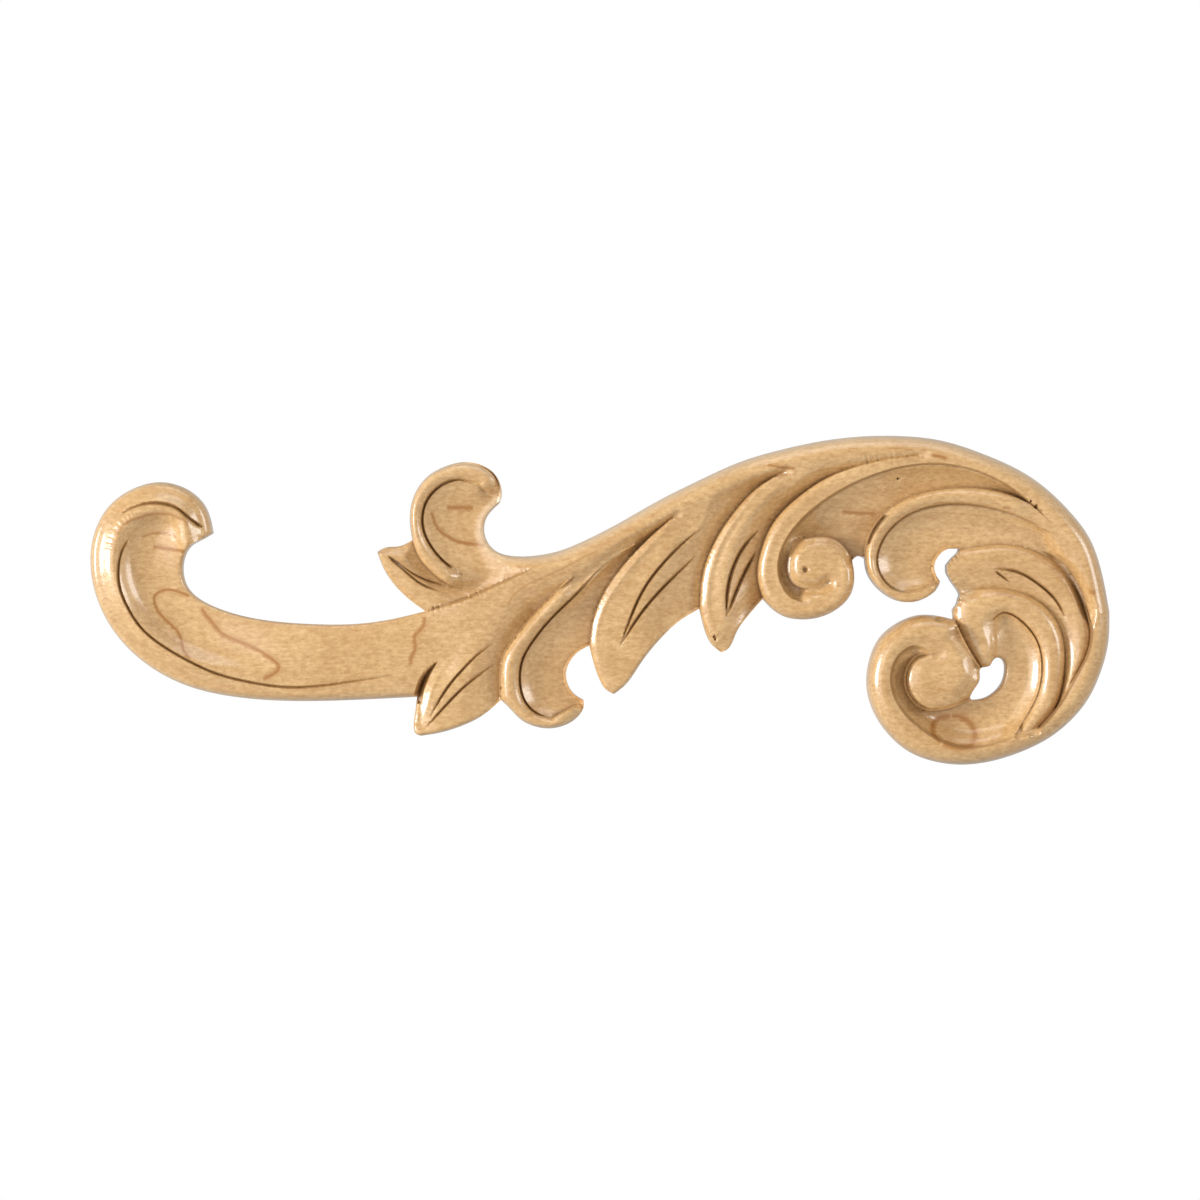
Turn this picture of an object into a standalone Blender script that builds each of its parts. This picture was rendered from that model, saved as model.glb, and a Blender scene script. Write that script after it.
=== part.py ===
"""Carved acanthus applique: one piece of pale close-grained wood, flat behind and carved in front.

Metres, +Z up. The length lies along X, the height along Z, the carving faces -Y, and the flat back
lies in the plane y = 0 with the origin in its middle, where the piece is glued or pinned to its wall.

The shape starts as a carver's does, from a drawing squared up at full size. Its lines are smooth curves
through a few points, counted in squares to the right and down from the drawing's top left corner.
Heights are millimetres above the flat back.
"""

import bpy
import numpy as np
from mathutils import Vector
from mathutils.geometry import delaunay_2d_cdt

# Driving sizes, in metres
OVERALL_LENGTH = 0.255
THICKNESS = 0.013
MM = 0.001

# The squared drawing
DRAWN_LENGTH = 1019.3
SQUARE = OVERALL_LENGTH / DRAWN_LENGTH
DRAWING_MIDDLE = np.array([600.0, 600.0])
LINE_STEP = 2.0
BLOCK = 3000

# How finely the solid follows the drawing, in squares
OUTLINE_STEP = 6.6
CREASE_STEP = 7.5
GRID_STEP = 10.5
RING_INSETS = (3.0, 8.5)
RING_GAP = 3.0
GRID_GAP = 6.5
EDGE_GAP = 1.2
WALL = 1.5
MERGE = 0.02

# How far a leaf runs on under the next one, in squares
TUCK = 4.0

# Rounding where the carving meets the sawn outline
EDGE_REACH = 4.0
EDGE_DROP = 1.1
LEAST_EDGE = 2.5

WOOD_COLOUR = (0.69, 0.45, 0.23, 1.0)
WOOD_ROUGHNESS = 0.45

# The sawn outline, once round: hook, leaves along the lower edge, volute, and back along the upper edge
OUTLINE = {
    "hook_back": [(212, 533), (204, 506), (184, 488), (160, 482), (135, 487.5), (108, 506.5), (92.5, 537),
                  (90.5, 573), (101, 610), (120, 640), (150, 667), (190, 687), (230, 696.3), (290, 701),
                  (370, 699.3), (416.5, 697)],
    "first_leaf_side": [(416.5, 697), (415.5, 711), (413.8, 725), (416, 733.5), (421, 735.7)],
    "first_leaf_under": [(421, 735.7), (440, 732.6), (460, 726.5), (480, 717), (501, 699.8)],
    "lower_scroll_under": [(501, 699.8), (510, 708.5), (520, 718.7), (534, 726), (550, 728.3), (565, 725),
                           (577.6, 716.8), (583.7, 706), (583.3, 700)],
    "lower_scroll_mouth": [(583.3, 700), (574.4, 694.4), (567, 682.5), (566, 672), (569.6, 662),
                           (579.5, 650.8), (589.3, 645.5)],
    "second_leaf_side": [(589.3, 645.5), (594, 664), (600, 680.5), (606, 689.5), (613.8, 694)],
    "second_leaf_under": [(613.8, 694), (623.4, 686.7), (640, 664.3), (660, 639), (680, 620.3),
                          (699.5, 608.5)],
    "third_leaf_side": [(699.5, 608.5), (704.4, 628.4), (712, 644.5), (721.4, 652.3)],
    "third_leaf_under": [(721.4, 652.3), (727, 649.5), (735.4, 634.3), (746, 617.8), (762.7, 598.7)],
    "coil_under": [(762.7, 598.7), (774.2, 610.2), (786, 617), (800, 619.4), (820, 617), (838, 608),
                   (850.4, 594), (853.8, 577), (851.7, 560.2)],
    "coil_notch": [(851.7, 560.2), (859, 555.9), (864.9, 558.5)],
    "upper_scroll_under": [(864.9, 558.5), (866.8, 571), (874.3, 584.3), (886, 595), (900, 601.3),
                           (916, 601.2), (930, 594.6), (938.7, 585), (939.7, 581)],
    "upper_scroll_mouth": [(939.7, 581), (934.8, 573.5), (933.6, 566), (936.7, 557.7), (945.4, 549.8),
                           (959.3, 548.8)],
    "volute_side": [(953.3, 619.5), (940, 616.3), (920, 615.1), (900, 622), (880, 638.5), (869.6, 662.5),
                    (867.4, 686), (876, 715.4), (890, 735.4), (910, 752.2), (933, 761.1), (960, 764.6),
                    (990, 761.4), (1020, 752.2), (1050, 737.2), (1070, 721), (1088, 699), (1100, 673.5),
                    (1108, 643.5), (1109.3, 612)],
    "back_curve": [(1109.3, 612), (1101, 570), (1089, 537.5), (1070, 512), (1030, 476.7), (985, 454.7),
                   (940, 440.4), (900, 436.1), (860, 436.6), (820, 441.4), (780, 450), (740, 462),
                   (700, 479.9), (660, 499.8), (620, 522.5), (580, 542.7), (560, 550.6), (540, 555),
                   (513, 556), (494, 549.8), (484.5, 535.3), (485.6, 518.7), (499, 503)],
    "top_scroll_back": [(499, 503), (501.3, 495), (500.6, 486), (495.5, 475), (485.7, 467.1), (475, 463.2),
                        (460, 462.5), (445, 466.6), (430, 474.4), (420, 484.6), (412.6, 498.7),
                        (409.6, 520.6), (412, 540)],
    "small_leaf_top": [(412, 540), (399, 546.2), (384.6, 547.7), (377, 552)],
    "small_leaf_under": [(377, 552), (384, 569.4), (400, 590.8), (410.5, 600.3), (425.5, 611.2)],
    "stem_top": [(425.5, 611.2), (385, 620.4), (350, 624.3), (310, 624.1), (270, 621), (235, 614.3),
                 (210, 605.4), (195.4, 596.9), (186, 586.4), (181.8, 570), (183.3, 557.7), (190.2, 545.8),
                 (200.5, 539.7), (212, 533)],
}
# Splintered edge inside the volute, left as it broke: straight from point to point
BROKEN_EDGE = [(959.3, 548.8), (957.8, 552.8), (951.5, 558.5), (946.3, 565), (946.5, 572.6), (951, 580.8),
               (957.7, 590), (960, 594.5), (958.2, 599.2), (957, 604.5), (953, 609.5), (954.1, 617.2),
               (953.3, 619.5)]
# Window cut right through, between the volute's eye and the end of its inner leaf
WINDOW = [(979.8, 668.5), (989.5, 665.8), (995, 658.3), (1002, 658.7), (1005.7, 670), (1001, 685.5),
          (989.8, 696), (975, 700), (970, 699), (970.6, 694.7), (975.4, 686.5), (979.4, 677)]

# Lines of the carving inside the outline
CARVING = {
    "hook_groove": [(130, 537), (122.7, 549.6), (119, 568), (120, 585), (129.6, 609.5), (142.5, 628.3),
                    (160, 643.3), (190, 661.2), (220, 674.4), (250, 682), (286, 687), (340, 683.4),
                    (413.5, 671.8)],
    "hook_lip": [(114.6, 519.6), (132, 508.7), (149, 503.8), (166.5, 504.3), (178, 508.7), (189.6, 518.5),
                 (202.3, 527.7)],
    "top_scroll_groove": [(477.8, 484.7), (465, 480.5), (450, 481.4), (436.4, 489), (426.6, 501.2),
                          (422.4, 516), (424.2, 532.8), (432, 548), (445.5, 563.3), (466.2, 577)],
    "top_scroll_lower_edge": [(412, 540), (418.7, 557.2), (432, 573), (448, 584.6), (462.6, 590)],
    "small_leaf_vein_a": [(387.7, 555.4), (404, 567.5), (423.6, 579), (448, 585.8)],
    "small_leaf_vein_b": [(388.3, 556.6), (406.5, 572.4), (423.6, 585.2), (442, 591.3)],
    "spine_step_low": [(425.5, 611.2), (438, 607.4), (452.8, 603), (470, 597.5)],
    "spine_step_high": [(470, 597.5), (480, 593), (500, 584), (520, 574.8), (545.4, 562)],
    "stem_cut": [(438, 661.5), (428, 673), (421, 687), (416.8, 702)],
    "first_leaf_arris": [(438, 662), (430.3, 676), (423.2, 691.6), (420.4, 710), (419.7, 722)],
    "first_leaf_vein_a": [(430, 717.4), (438.5, 702), (451.3, 682.8), (465.4, 666.8), (480, 652.7),
                          (495.5, 642)],
    "first_leaf_vein_b": [(425.6, 728.3), (439.7, 712.3), (460.3, 690.5), (479.5, 674.5), (496.8, 663)],
    "lower_scroll_edge": [(580.6, 569.5), (568, 581), (539.7, 608.5), (514, 639), (503.8, 655.3),
                          (500.4, 671), (500.4, 685), (501, 699.8)],
    "lower_scroll_groove": [(633.7, 545.2), (610, 560.6), (580, 590), (550, 619.4), (533.3, 640),
                            (521.8, 661), (519.5, 680.3), (523, 698), (534.6, 712.3), (551.3, 718)],
    "second_leaf_edge": [(678, 512.7), (655.8, 531), (623.4, 564.3), (602, 595.3), (591, 629),
                         (589.3, 645.5)],
    "second_leaf_vein_a": [(619.7, 647), (630, 619), (645.5, 586.4), (666, 560), (683.8, 542.2),
                           (707.4, 524.5)],
    "second_leaf_vein_b": [(619.7, 647), (639.6, 615.2), (669.8, 580.5), (699.3, 552.5)],
    "third_leaf_edge": [(788.3, 469.2), (765, 481.7), (736.7, 508.3), (716.5, 537.8), (703, 571.7),
                        (699.5, 608.5)],
    "third_leaf_vein_a": [(726.3, 620.3), (726.3, 601), (734, 564.3), (745.7, 543.7), (760, 528.5)],
    "third_leaf_vein_b": [(726.9, 615.4), (740, 582), (756.5, 551)],
    "coil_edge": [(926, 455), (886, 459.5), (853, 467), (825, 478.3), (800, 495), (773.3, 521.7),
                  (760.8, 550), (757.5, 580.8), (762.7, 598.7)],
    "coil_groove": [(1052, 525), (1020, 496), (980.6, 473.7), (934, 464.8), (880, 473.5), (830, 497),
                    (793.5, 529), (779.4, 556.6), (780, 580.8), (788, 594.6), (808.8, 605)],
    "coil_eye_side": [(827, 583), (820, 588.3), (807.7, 589), (793.8, 584.2), (787, 569), (791.5, 547.3)],
    "coil_eye_top": [(791.5, 547.3), (798, 541.5), (810, 538), (829.6, 538), (842.3, 545.6),
                     (851.7, 560.2)],
    "upper_scroll_edge": [(1040, 511), (1010, 496), (960, 488.2), (910, 497), (877.4, 521), (865.3, 549),
                          (864.9, 558.5)],
    "upper_scroll_groove": [(1056, 537), (1020, 518.3), (980.6, 506.6), (940, 505.3), (900, 519.9),
                            (880.8, 542.5), (876.2, 562.3), (880.3, 576.2), (895, 590), (920.8, 590)],
    "inner_leaf_edge": [(959.3, 548.8), (980, 546), (1000, 544), (1030, 549), (1059, 566.2),
                        (1078.6, 592.4), (1091, 629)],
    "rim_cut": [(1040, 550), (1062, 563), (1077, 584), (1086, 607), (1091, 629)],
    "inner_leaf_vein_a": [(992, 568.6), (1017.7, 572.3), (1037, 583.2), (1056.7, 602), (1066.4, 620)],
    "inner_leaf_vein_b": [(994.6, 571), (1011, 583.2)],
    "band_edge": [(970, 590), (1000, 588.4), (1026, 594.8), (1050, 612), (1062.8, 637.4), (1064.6, 668),
                  (1055.5, 707.4), (1034.7, 732.7)],
    "rim_foot": [(1091, 629), (1090, 643.4), (1075, 677.6), (1055, 710.5), (1034.7, 732.7)],
    "basin_edge": [(989.7, 623.4), (1002, 613), (1023.8, 623.4), (1038.4, 644.7), (1041.8, 671),
                   (1037, 696), (1026, 717), (1013.8, 737)],
    "volute_groove": [(1013.8, 737), (990, 744.2), (960, 746.6), (930, 734.6), (901.7, 709.8),
                      (890.4, 678.5), (900, 653.7), (914.5, 646.2), (928, 650.5)],
    "volute_eye_side": [(933, 653.7), (916, 656), (904, 680), (909.7, 697.8), (924, 709), (940, 709.8),
                        (970, 699)],
    "leaf_end_side": [(953.3, 619.5), (959.2, 632.6), (969.6, 652), (979.8, 668.5)],
    "leaf_end_flute": [(998, 616), (994.5, 636), (992, 658)],
}


def spline(knots, values, at):
    """Smooth cubic through values at the knots, straight at both ends, read at the places given."""
    gap = np.diff(knots)
    system = np.eye(len(knots))
    inner = np.arange(1, len(knots) - 1)
    system[inner, inner - 1] = gap[:-1]
    system[inner, inner] = 2 * (gap[:-1] + gap[1:])
    system[inner, inner + 1] = gap[1:]
    slopes = np.diff(values, axis=0) / gap[:, None]
    known = np.zeros_like(values)
    known[1:-1] = 6 * np.diff(slopes, axis=0)
    bend = np.linalg.solve(system, known)
    piece = np.clip(np.searchsorted(knots, at, side="right") - 1, 0, len(knots) - 2)
    width = gap[piece][:, None]
    after = (at - knots[piece])[:, None]
    before = width - after
    curved = (bend[piece] * before**3 + bend[piece + 1] * after**3) / (6 * width)
    from_start = (values[piece] / width - bend[piece] * width / 6) * before
    from_end = (values[piece + 1] / width - bend[piece + 1] * width / 6) * after
    return curved + from_start + from_end


def respaced(line, step):
    """The same line with its points an even step apart, ends kept."""
    run = np.append(0, np.cumsum(np.linalg.norm(np.diff(line, axis=0), axis=1)))
    count = max(2, round(run[-1] / step) + 1)
    at = np.linspace(0, run[-1], count)
    return np.stack([np.interp(at, run, line[:, 0]), np.interp(at, run, line[:, 1])], 1)


def drawn(points, curved=True):
    """A drawn line in squares from the drawing's middle, right and up."""
    points = (np.array(points, float) - DRAWING_MIDDLE) * (1, -1)
    if curved and len(points) > 2:
        run = np.append(0, np.cumsum(np.linalg.norm(np.diff(points, axis=0), axis=1)))
        points = spline(run, points, np.linspace(0, run[-1], max(8, round(run[-1] / LINE_STEP))))
    return respaced(points, LINE_STEP)


def drawn_window():
    """The window's rim, closed: the smooth curve runs one lap and a bit, and one lap of it is kept."""
    lap = drawn(WINDOW[-3:] + WINDOW + WINDOW[:3])
    first = np.argmin(np.linalg.norm(lap - drawn([WINDOW[0]] * 2, False)[0], axis=1)[: len(lap) // 2])
    gaps = np.linalg.norm(lap - lap[first], axis=1)
    gaps[: first + 10] = np.inf
    return np.vstack([lap[first : np.argmin(gaps)], lap[first]])


LINES = {name: drawn(points) for name, points in (OUTLINE | CARVING).items()}
LINES["broken_edge"] = drawn(BROKEN_EDGE, curved=False)
# The window's rim where it borders the volute's eye, and where it borders the end of the leaf
LINES["window_side"] = drawn([(970.6, 694.7), (975.4, 686.5), (979.4, 677), (979.8, 668.5)])
LINES["leaf_end_tip"] = drawn([(979.8, 668.5), (989.5, 666)])
OUTLINE_ORDER = [*OUTLINE]
OUTLINE_ORDER.insert(OUTLINE_ORDER.index("volute_side"), "broken_edge")


def moved(line, by):
    """A line moved sideways: to its left as it runs, or to its right for a minus."""
    along = np.gradient(line, axis=0)
    along /= np.maximum(np.linalg.norm(along, axis=1), 1e-9)[:, None]
    return line + by * along[:, ::-1] * (-1, 1)


def piece_of(part):
    """One stretch of a joined line: a named line, one turned round by a minus sign, or a loose point."""
    if isinstance(part, tuple):
        return (np.array([part], float) - DRAWING_MIDDLE) * (1, -1)
    return LINES[part[1:]][::-1] if part.startswith("-") else LINES[part]


def joined(*parts, closed=False):
    """Stretches end to end, with straight runs between those that don't meet."""
    pieces = [piece_of(part) for part in parts]
    if closed:
        pieces.append(pieces[0][:1])
    line = pieces[:1]
    for before, after in zip(pieces, pieces[1:]):
        line += [respaced(np.stack([before[-1], after[0]]), LINE_STEP)[1:-1], after]
    return np.vstack(line)


# A leaf runs on a little way under the next one, so that no ridge is left between the two
for name in ("second_leaf", "third_leaf", "coil"):
    LINES[name + "_tuck"] = moved(LINES[name + "_edge"], TUCK)
RIM = joined(*OUTLINE_ORDER)
WINDOW_RIM = drawn_window()


# The carving's layers, painted one over the other as the leaves overlap: the loop a layer fills, the line
# its section starts from, the line it runs to, the section, and what softens it. A section gives
# millimetres over the ground at shares of the way between the two lines, or at squares from the first
# one where there is no second. The ground is the swell of the blank, or a level given in millimetres. A
# lip that grows has no rise where its line starts, and all of it after that share of the line.
RIM_SECTION = [(0, -0.6), (0.16, 0.6), (0.42, 1.3), (0.72, 1.0), (1, 0.1)]
LEAF_SECTION = [(0, -0.4), (0.07, 0.35), (0.2, 0.6), (0.38, 0.95), (0.62, -0.5), (1, -3.0)]
HOLLOW_SECTION = [(0, -0.5), (0.2, -1.6), (0.5, -2.7), (0.8, -3.3), (1, -3.4)]
LAYERS = [
    {"loop": ["small_leaf_top", "small_leaf_under", "spine_step_low", (470, 560), (430, 520)],
     "near": ["small_leaf_under"], "far": ["small_leaf_top", "top_scroll_lower_edge"], "ground": 7.6,
     "section": [(0, -0.6), (0.15, 0.1), (0.45, 0.6), (0.6, 0.4), (0.85, -0.6), (1, -1.0)]},
    {"loop": ["-spine_step_high", "-top_scroll_lower_edge", "-top_scroll_back", (512, 503), (512, 540),
              (530, 543)],
     "near": ["top_scroll_groove"], "far": ["spine_step_high", "back_curve"], "ground": 9.6,
     "section": [(0, -0.2), (0.2, -1.2), (0.5, -2.3), (0.8, -2.5), (1, -1.9)],
     "open": [(590, 530), (590, 545), (545.4, 562)], "blend": 75},
    {"loop": ["-top_scroll_lower_edge", "-top_scroll_back", "top_scroll_groove"],
     "near": ["-top_scroll_lower_edge", "-top_scroll_back"], "far": ["top_scroll_groove"], "ground": 9.6,
     "section": RIM_SECTION, "ends": (0.07, 0.12)},
    {"loop": ["first_leaf_arris", (405, 725), (410, 742), "first_leaf_under", "-lower_scroll_edge"],
     "near": ["first_leaf_arris"], "far": ["lower_scroll_edge"], "ground": 9.2,
     "section": [(0, -0.2), (0.05, 0.3), (0.3, 0.9), (0.55, 0.2), (0.8, -1.2), (1, -2.4)],
     "open": [(580.6, 569.5), (520, 588), (470, 630), (438, 662)], "blend": 34},
    {"loop": ["lower_scroll_edge", "lower_scroll_under", "lower_scroll_mouth", "-second_leaf_tuck"],
     "near": ["lower_scroll_groove"], "far": ["second_leaf_edge", "lower_scroll_mouth"],
     "section": HOLLOW_SECTION,
     "open": [(680, 507), (650, 524), (620, 540), (580.6, 569.5)], "blend": 14},
    {"loop": ["lower_scroll_edge", "lower_scroll_under", "-lower_scroll_groove"],
     "near": ["lower_scroll_edge", "lower_scroll_under"], "far": ["lower_scroll_groove"],
     "section": [(share, rise + 0.4) for share, rise in RIM_SECTION], "ends": (0.15, 0.05)},
    {"loop": ["second_leaf_edge", "second_leaf_side", "second_leaf_under", "-third_leaf_tuck"],
     "near": ["second_leaf_edge", "second_leaf_side"], "far": ["third_leaf_edge"],
     "section": LEAF_SECTION, "grows": 0.15,
     "open": [(790, 464), (760, 472), (720, 489), (678, 512.7)], "blend": 12},
    {"loop": ["third_leaf_edge", "third_leaf_side", "third_leaf_under", "-coil_tuck"],
     "near": ["third_leaf_edge", "third_leaf_side"], "far": ["coil_edge"],
     "section": LEAF_SECTION, "grows": 0.15,
     "open": [(926, 448), (862, 457), (820, 461), (788.3, 469.2)], "blend": 20},
    {"loop": ["coil_edge", "coil_under", (872, 540)],
     "near": ["coil_edge", "coil_under"], "grows": 0.5,
     "section": [(0, -0.4), (3, 0.7), (8, 1.5), (14, 1.4), (20, 1.5), (40, 2.0), (80, 2.0)],
     "open": [(905, 490), (950, 470), (926, 455)], "blend": 8,
     "shoulders": [("coil_eye_top", 10, 1.8), ("coil_eye_side", 10, 1.8)]},
    {"loop": ["coil_groove", "coil_eye_side", "coil_eye_top", (858, 575), "-upper_scroll_edge"],
     "near": ["coil_groove"], "far": ["coil_eye_side", "coil_eye_top", "coil_notch", "-upper_scroll_edge"],
     "section": [(0, -0.3), (0.2, -1.5), (0.5, -2.8), (0.8, -3.5), (1, -3.7)], "ends": (0.05, 0.05),
     "shoulders": [("coil_eye_side", 12, -1.5)]},
    {"loop": ["upper_scroll_groove", "upper_scroll_mouth", (975, 560), (1040, 580)],
     "near": ["upper_scroll_groove"], "far": ["upper_scroll_mouth", "inner_leaf_edge"],
     "section": HOLLOW_SECTION,
     "open": [(1062, 640), (1104, 655), (1093, 600), (1078, 572), (1056, 537)], "blend": 15},
    {"loop": ["upper_scroll_edge", "upper_scroll_under", "-upper_scroll_groove"],
     "near": ["upper_scroll_edge", "upper_scroll_under"], "far": ["upper_scroll_groove"],
     "section": [(share, rise + 0.3) for share, rise in RIM_SECTION], "ends": (0.1, 0.05)},
    {"loop": ["inner_leaf_edge", "rim_foot", (1013.8, 737), (990, 700), (979.8, 668.5), "-leaf_end_side",
              (935, 620), (935, 560), (952, 548)],
     "near": ["inner_leaf_edge", "rim_foot"], "far": ["band_edge"], "ground": 9.4,
     "section": [(0, -1.3), (0.1, -0.3), (0.35, 0.3), (0.7, -0.5), (1, -1.9)]},
    {"loop": ["band_edge", (1013.8, 737), "-basin_edge", "leaf_end_flute", (989.5, 667), "-leaf_end_side",
              (940, 620)],
     "near": ["-band_edge", (957, 591), (953, 609.5), "leaf_end_side"],
     "far": ["basin_edge", "leaf_end_flute"], "ground": 9.4,
     "section": [(0, -1.2), (0.15, 0.1), (0.45, 1.0), (0.8, 0.7), (1, -0.4)],
     "open": [(940, 590), (970, 590)], "blend": 13, "shoulders": [("leaf_end_tip", 15, 1.2)]},
    {"loop": ["basin_edge", "volute_groove", "volute_eye_side", (990, 690), (989.5, 665.8),
              "-leaf_end_flute"],
     "near": ["-leaf_end_flute", "basin_edge", "volute_groove"], "ground": 6.9,
     "section": [(0, 1.5), (2, 0.7), (6, 0.2), (12, 0), (90, 0)],
     "shoulders": [("basin_edge", 14, -1.2), ("volute_groove", 20, -2.8), ("leaf_end_flute", 16, -0.6)]},
    {"loop": ["volute_eye_side", (990, 690), (990, 669), "-leaf_end_side"],
     "near": ["volute_eye_side"], "ground": 11.3,
     "section": [(0, -1.6), (3, -0.6), (8, 0.2), (25, 0.8), (80, 0.8)],
     "open": [(953.3, 619.5), (942, 630), (933, 653.7)], "blend": 12,
     "shoulders": [("window_side", 16, 1.7), ("leaf_end_side", 12, 1.4)]},
]

# V cuts: half the width in squares, the depth in millimetres, and the shares of the length over which
# the tool enters and leaves
CUTS = [
    ("hook_groove", 2.1, 1.4, 0.06, 0.5), ("hook_lip", 2.4, 1.5, 0.6, 0.06),
    ("top_scroll_groove", 1.9, 1.3, 0.3, 0.1),
    ("small_leaf_vein_a", 1.7, 0.9, 0.1, 0.3), ("small_leaf_vein_b", 1.7, 0.9, 0.1, 0.3),
    ("spine_step_low", 1.8, 0.8, 0.1, 0.0), ("spine_step_high", 1.8, 0.8, 0.0, 0.5),
    ("stem_cut", 6.0, 4.6, 0.6, 0.0),
    ("first_leaf_vein_a", 1.9, 1.2, 0.3, 0.5), ("first_leaf_vein_b", 1.9, 1.2, 0.3, 0.5),
    ("lower_scroll_groove", 1.8, 1.2, 0.3, 0.12),
    ("second_leaf_vein_a", 2.0, 1.4, 0.3, 0.4), ("second_leaf_vein_b", 2.0, 1.4, 0.3, 0.4),
    ("third_leaf_vein_a", 2.5, 1.8, 0.3, 0.3), ("third_leaf_vein_b", 2.5, 1.8, 0.3, 0.3),
    ("coil_groove", 1.7, 0.9, 0.15, 0.12), ("upper_scroll_groove", 1.7, 1.0, 0.25, 0.12),
    ("rim_cut", 9.0, 2.8, 0.6, 0.25),
    ("inner_leaf_vein_a", 2.0, 1.2, 0.3, 0.3), ("inner_leaf_vein_b", 1.7, 0.8, 0.2, 0.5),
    ("volute_groove", 1.8, 1.2, 0.2, 0.2), ("basin_edge", 1.4, 0.6, 0.3, 0.2),
]
# Where one layer stands over another there is a wall, and these are the lines that the walls follow
STEPS = ["top_scroll_lower_edge", "spine_step_low", "spine_step_high", "first_leaf_arris",
         "lower_scroll_edge", "second_leaf_edge", "third_leaf_edge", "coil_edge", "coil_eye_side",
         "coil_eye_top", "coil_groove", "upper_scroll_edge", "inner_leaf_edge", "rim_foot", "band_edge",
         "basin_edge", "volute_groove", "volute_eye_side", "leaf_end_side"]


def smooth(share):
    """0 below 0, 1 above 1, and an easy curve between."""
    share = np.clip(share, 0, 1)
    return share * share * (3 - 2 * share)


def blocks(count):
    """Index runs short enough to compare with a whole line at once."""
    return np.array_split(np.arange(count), count // BLOCK + 1)


def nearest(points, line):
    """Distance from each point to a line, and the share of the line's length where it is nearest."""
    start, run = line[:-1], np.diff(line, axis=0)
    length = np.maximum(np.linalg.norm(run, axis=1), 1e-9)
    before = np.append(0, np.cumsum(length))
    corner = np.empty(len(points), int)
    for block in blocks(len(points)):
        corner[block] = ((line**2).sum(1) - 2 * points[block] @ line.T).argmin(1)
    distance, share = np.full(len(points), np.inf), np.zeros(len(points))
    for shift in (-1, 0):
        piece = np.clip(corner + shift, 0, len(run) - 1)
        away = points - start[piece]
        along = np.clip((away * run[piece]).sum(1) / length[piece] ** 2, 0, 1)
        gap = np.linalg.norm(away - along[:, None] * run[piece], axis=1)
        better = gap < distance
        distance[better] = gap[better]
        share[better] = ((before[piece] + along * length[piece]) / before[-1])[better]
    return distance, share


def within(points, loop):
    """Which points lie inside a closed loop, by counting the crossings to their right."""
    x, y = loop.T
    next_x, next_y = np.roll(x, -1), np.roll(y, -1)
    rise = np.where(next_y == y, 1e-12, next_y - y)
    near = np.flatnonzero(((points > loop.min(0)) & (points < loop.max(0))).all(1))
    odd = np.zeros(len(points), bool)
    for block in blocks(len(near)):
        px, py = points[near[block], 0, None], points[near[block], 1, None]
        spans = (y > py) != (next_y > py)
        odd[near[block]] = (spans & (px < x + (py - y) * (next_x - x) / rise)).sum(1) % 2 == 1
    return odd


def section(rows, at):
    """A section's height at each place, by a smooth curve through its stations."""
    stations, heights = np.array(rows, float).T
    return spline(stations, heights[:, None], np.clip(at, stations[0], stations[-1]))[:, 0]


BLANK_SECTION = [(0, 8.4), (3, 10.4), (8, 12.0), (13, 12.6), (22, 12.3), (40, 11.4), (60, 10.8), (110, 9.9),
                 (180, 9.4), (420, 9.2)]
HOOK_SECTION = [(0, 6.2), (2, 7.1), (10, 8.35), (17, 9.5), (19.5, 9.9), (24, 10.3), (29, 9.9), (36, 8.4),
                (44, 7.3), (52, 6.9), (100, 6.9)]
STEM_SECTION = [(0, 6.4), (3, 7.9), (8, 8.8), (16, 9.4), (24, 9.5), (40, 9.4), (60, 9.1), (80, 8.6),
                (140, 8.2)]
STEM_BEGINS = (185, 540)
STEM_GROWS = 110
STEM_ENDS = (395, 470)
BODY_SINKS = (600, 430, 1.2)


def swell(points):
    """The blank's own height: a high rim along the back curve and the volute, falling away inside it."""
    back = joined("volute_side", "back_curve")
    height = section(BLANK_SECTION, nearest(points, back)[0])
    right, left, sink = BODY_SINKS
    across = points[:, 0] + DRAWING_MIDDLE[0]
    height -= sink * smooth((right - across) / (right - left))
    distance = nearest(points, LINES["hook_back"])[0]
    down = DRAWING_MIDDLE[1] - points[:, 1]
    stem = smooth((across - STEM_BEGINS[0]) / STEM_GROWS) * smooth((down - STEM_BEGINS[1]) / STEM_GROWS)
    hook = (1 - stem) * section(HOOK_SECTION, distance) + stem * section(STEM_SECTION, distance)
    body = smooth((across - STEM_ENDS[0]) / (STEM_ENDS[1] - STEM_ENDS[0]))
    return (1 - body) * hook + body * height


def paint(height, points, blank, layer):
    """One layer over what is there: its section on its ground, let in with a wall or a soft blend."""
    loop = joined(*layer["loop"], *layer.get("open", ()), closed=True)
    chosen = np.flatnonzero(within(points, loop))
    spots = points[chosen]
    distance, along = nearest(spots, joined(*layer["near"]))
    if "far" in layer:
        distance = distance / np.maximum(distance + nearest(spots, joined(*layer["far"]))[0], 1e-6)
    ground = layer.get("ground", blank[chosen])
    rise = section(layer["section"], distance)
    if "grows" in layer:
        rise = np.minimum(rise, rise * smooth(along / layer["grows"]))
    new = ground + rise
    for name, reach, drop in layer.get("shoulders", ()):
        new -= drop * (1 - smooth(nearest(spots, LINES[name])[0] / reach))
    let_in = np.clip(nearest(spots, loop)[0] / WALL, 0, 1)
    if "open" in layer:
        let_in = np.minimum(let_in, smooth(nearest(spots, joined(*layer["open"]))[0] / layer["blend"]))
    first, last = layer.get("ends", (0, 0))
    if first:
        let_in *= smooth(along / first)
    if last:
        let_in *= smooth((1 - along) / last)
    height[chosen] += let_in * (new - height[chosen])


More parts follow.
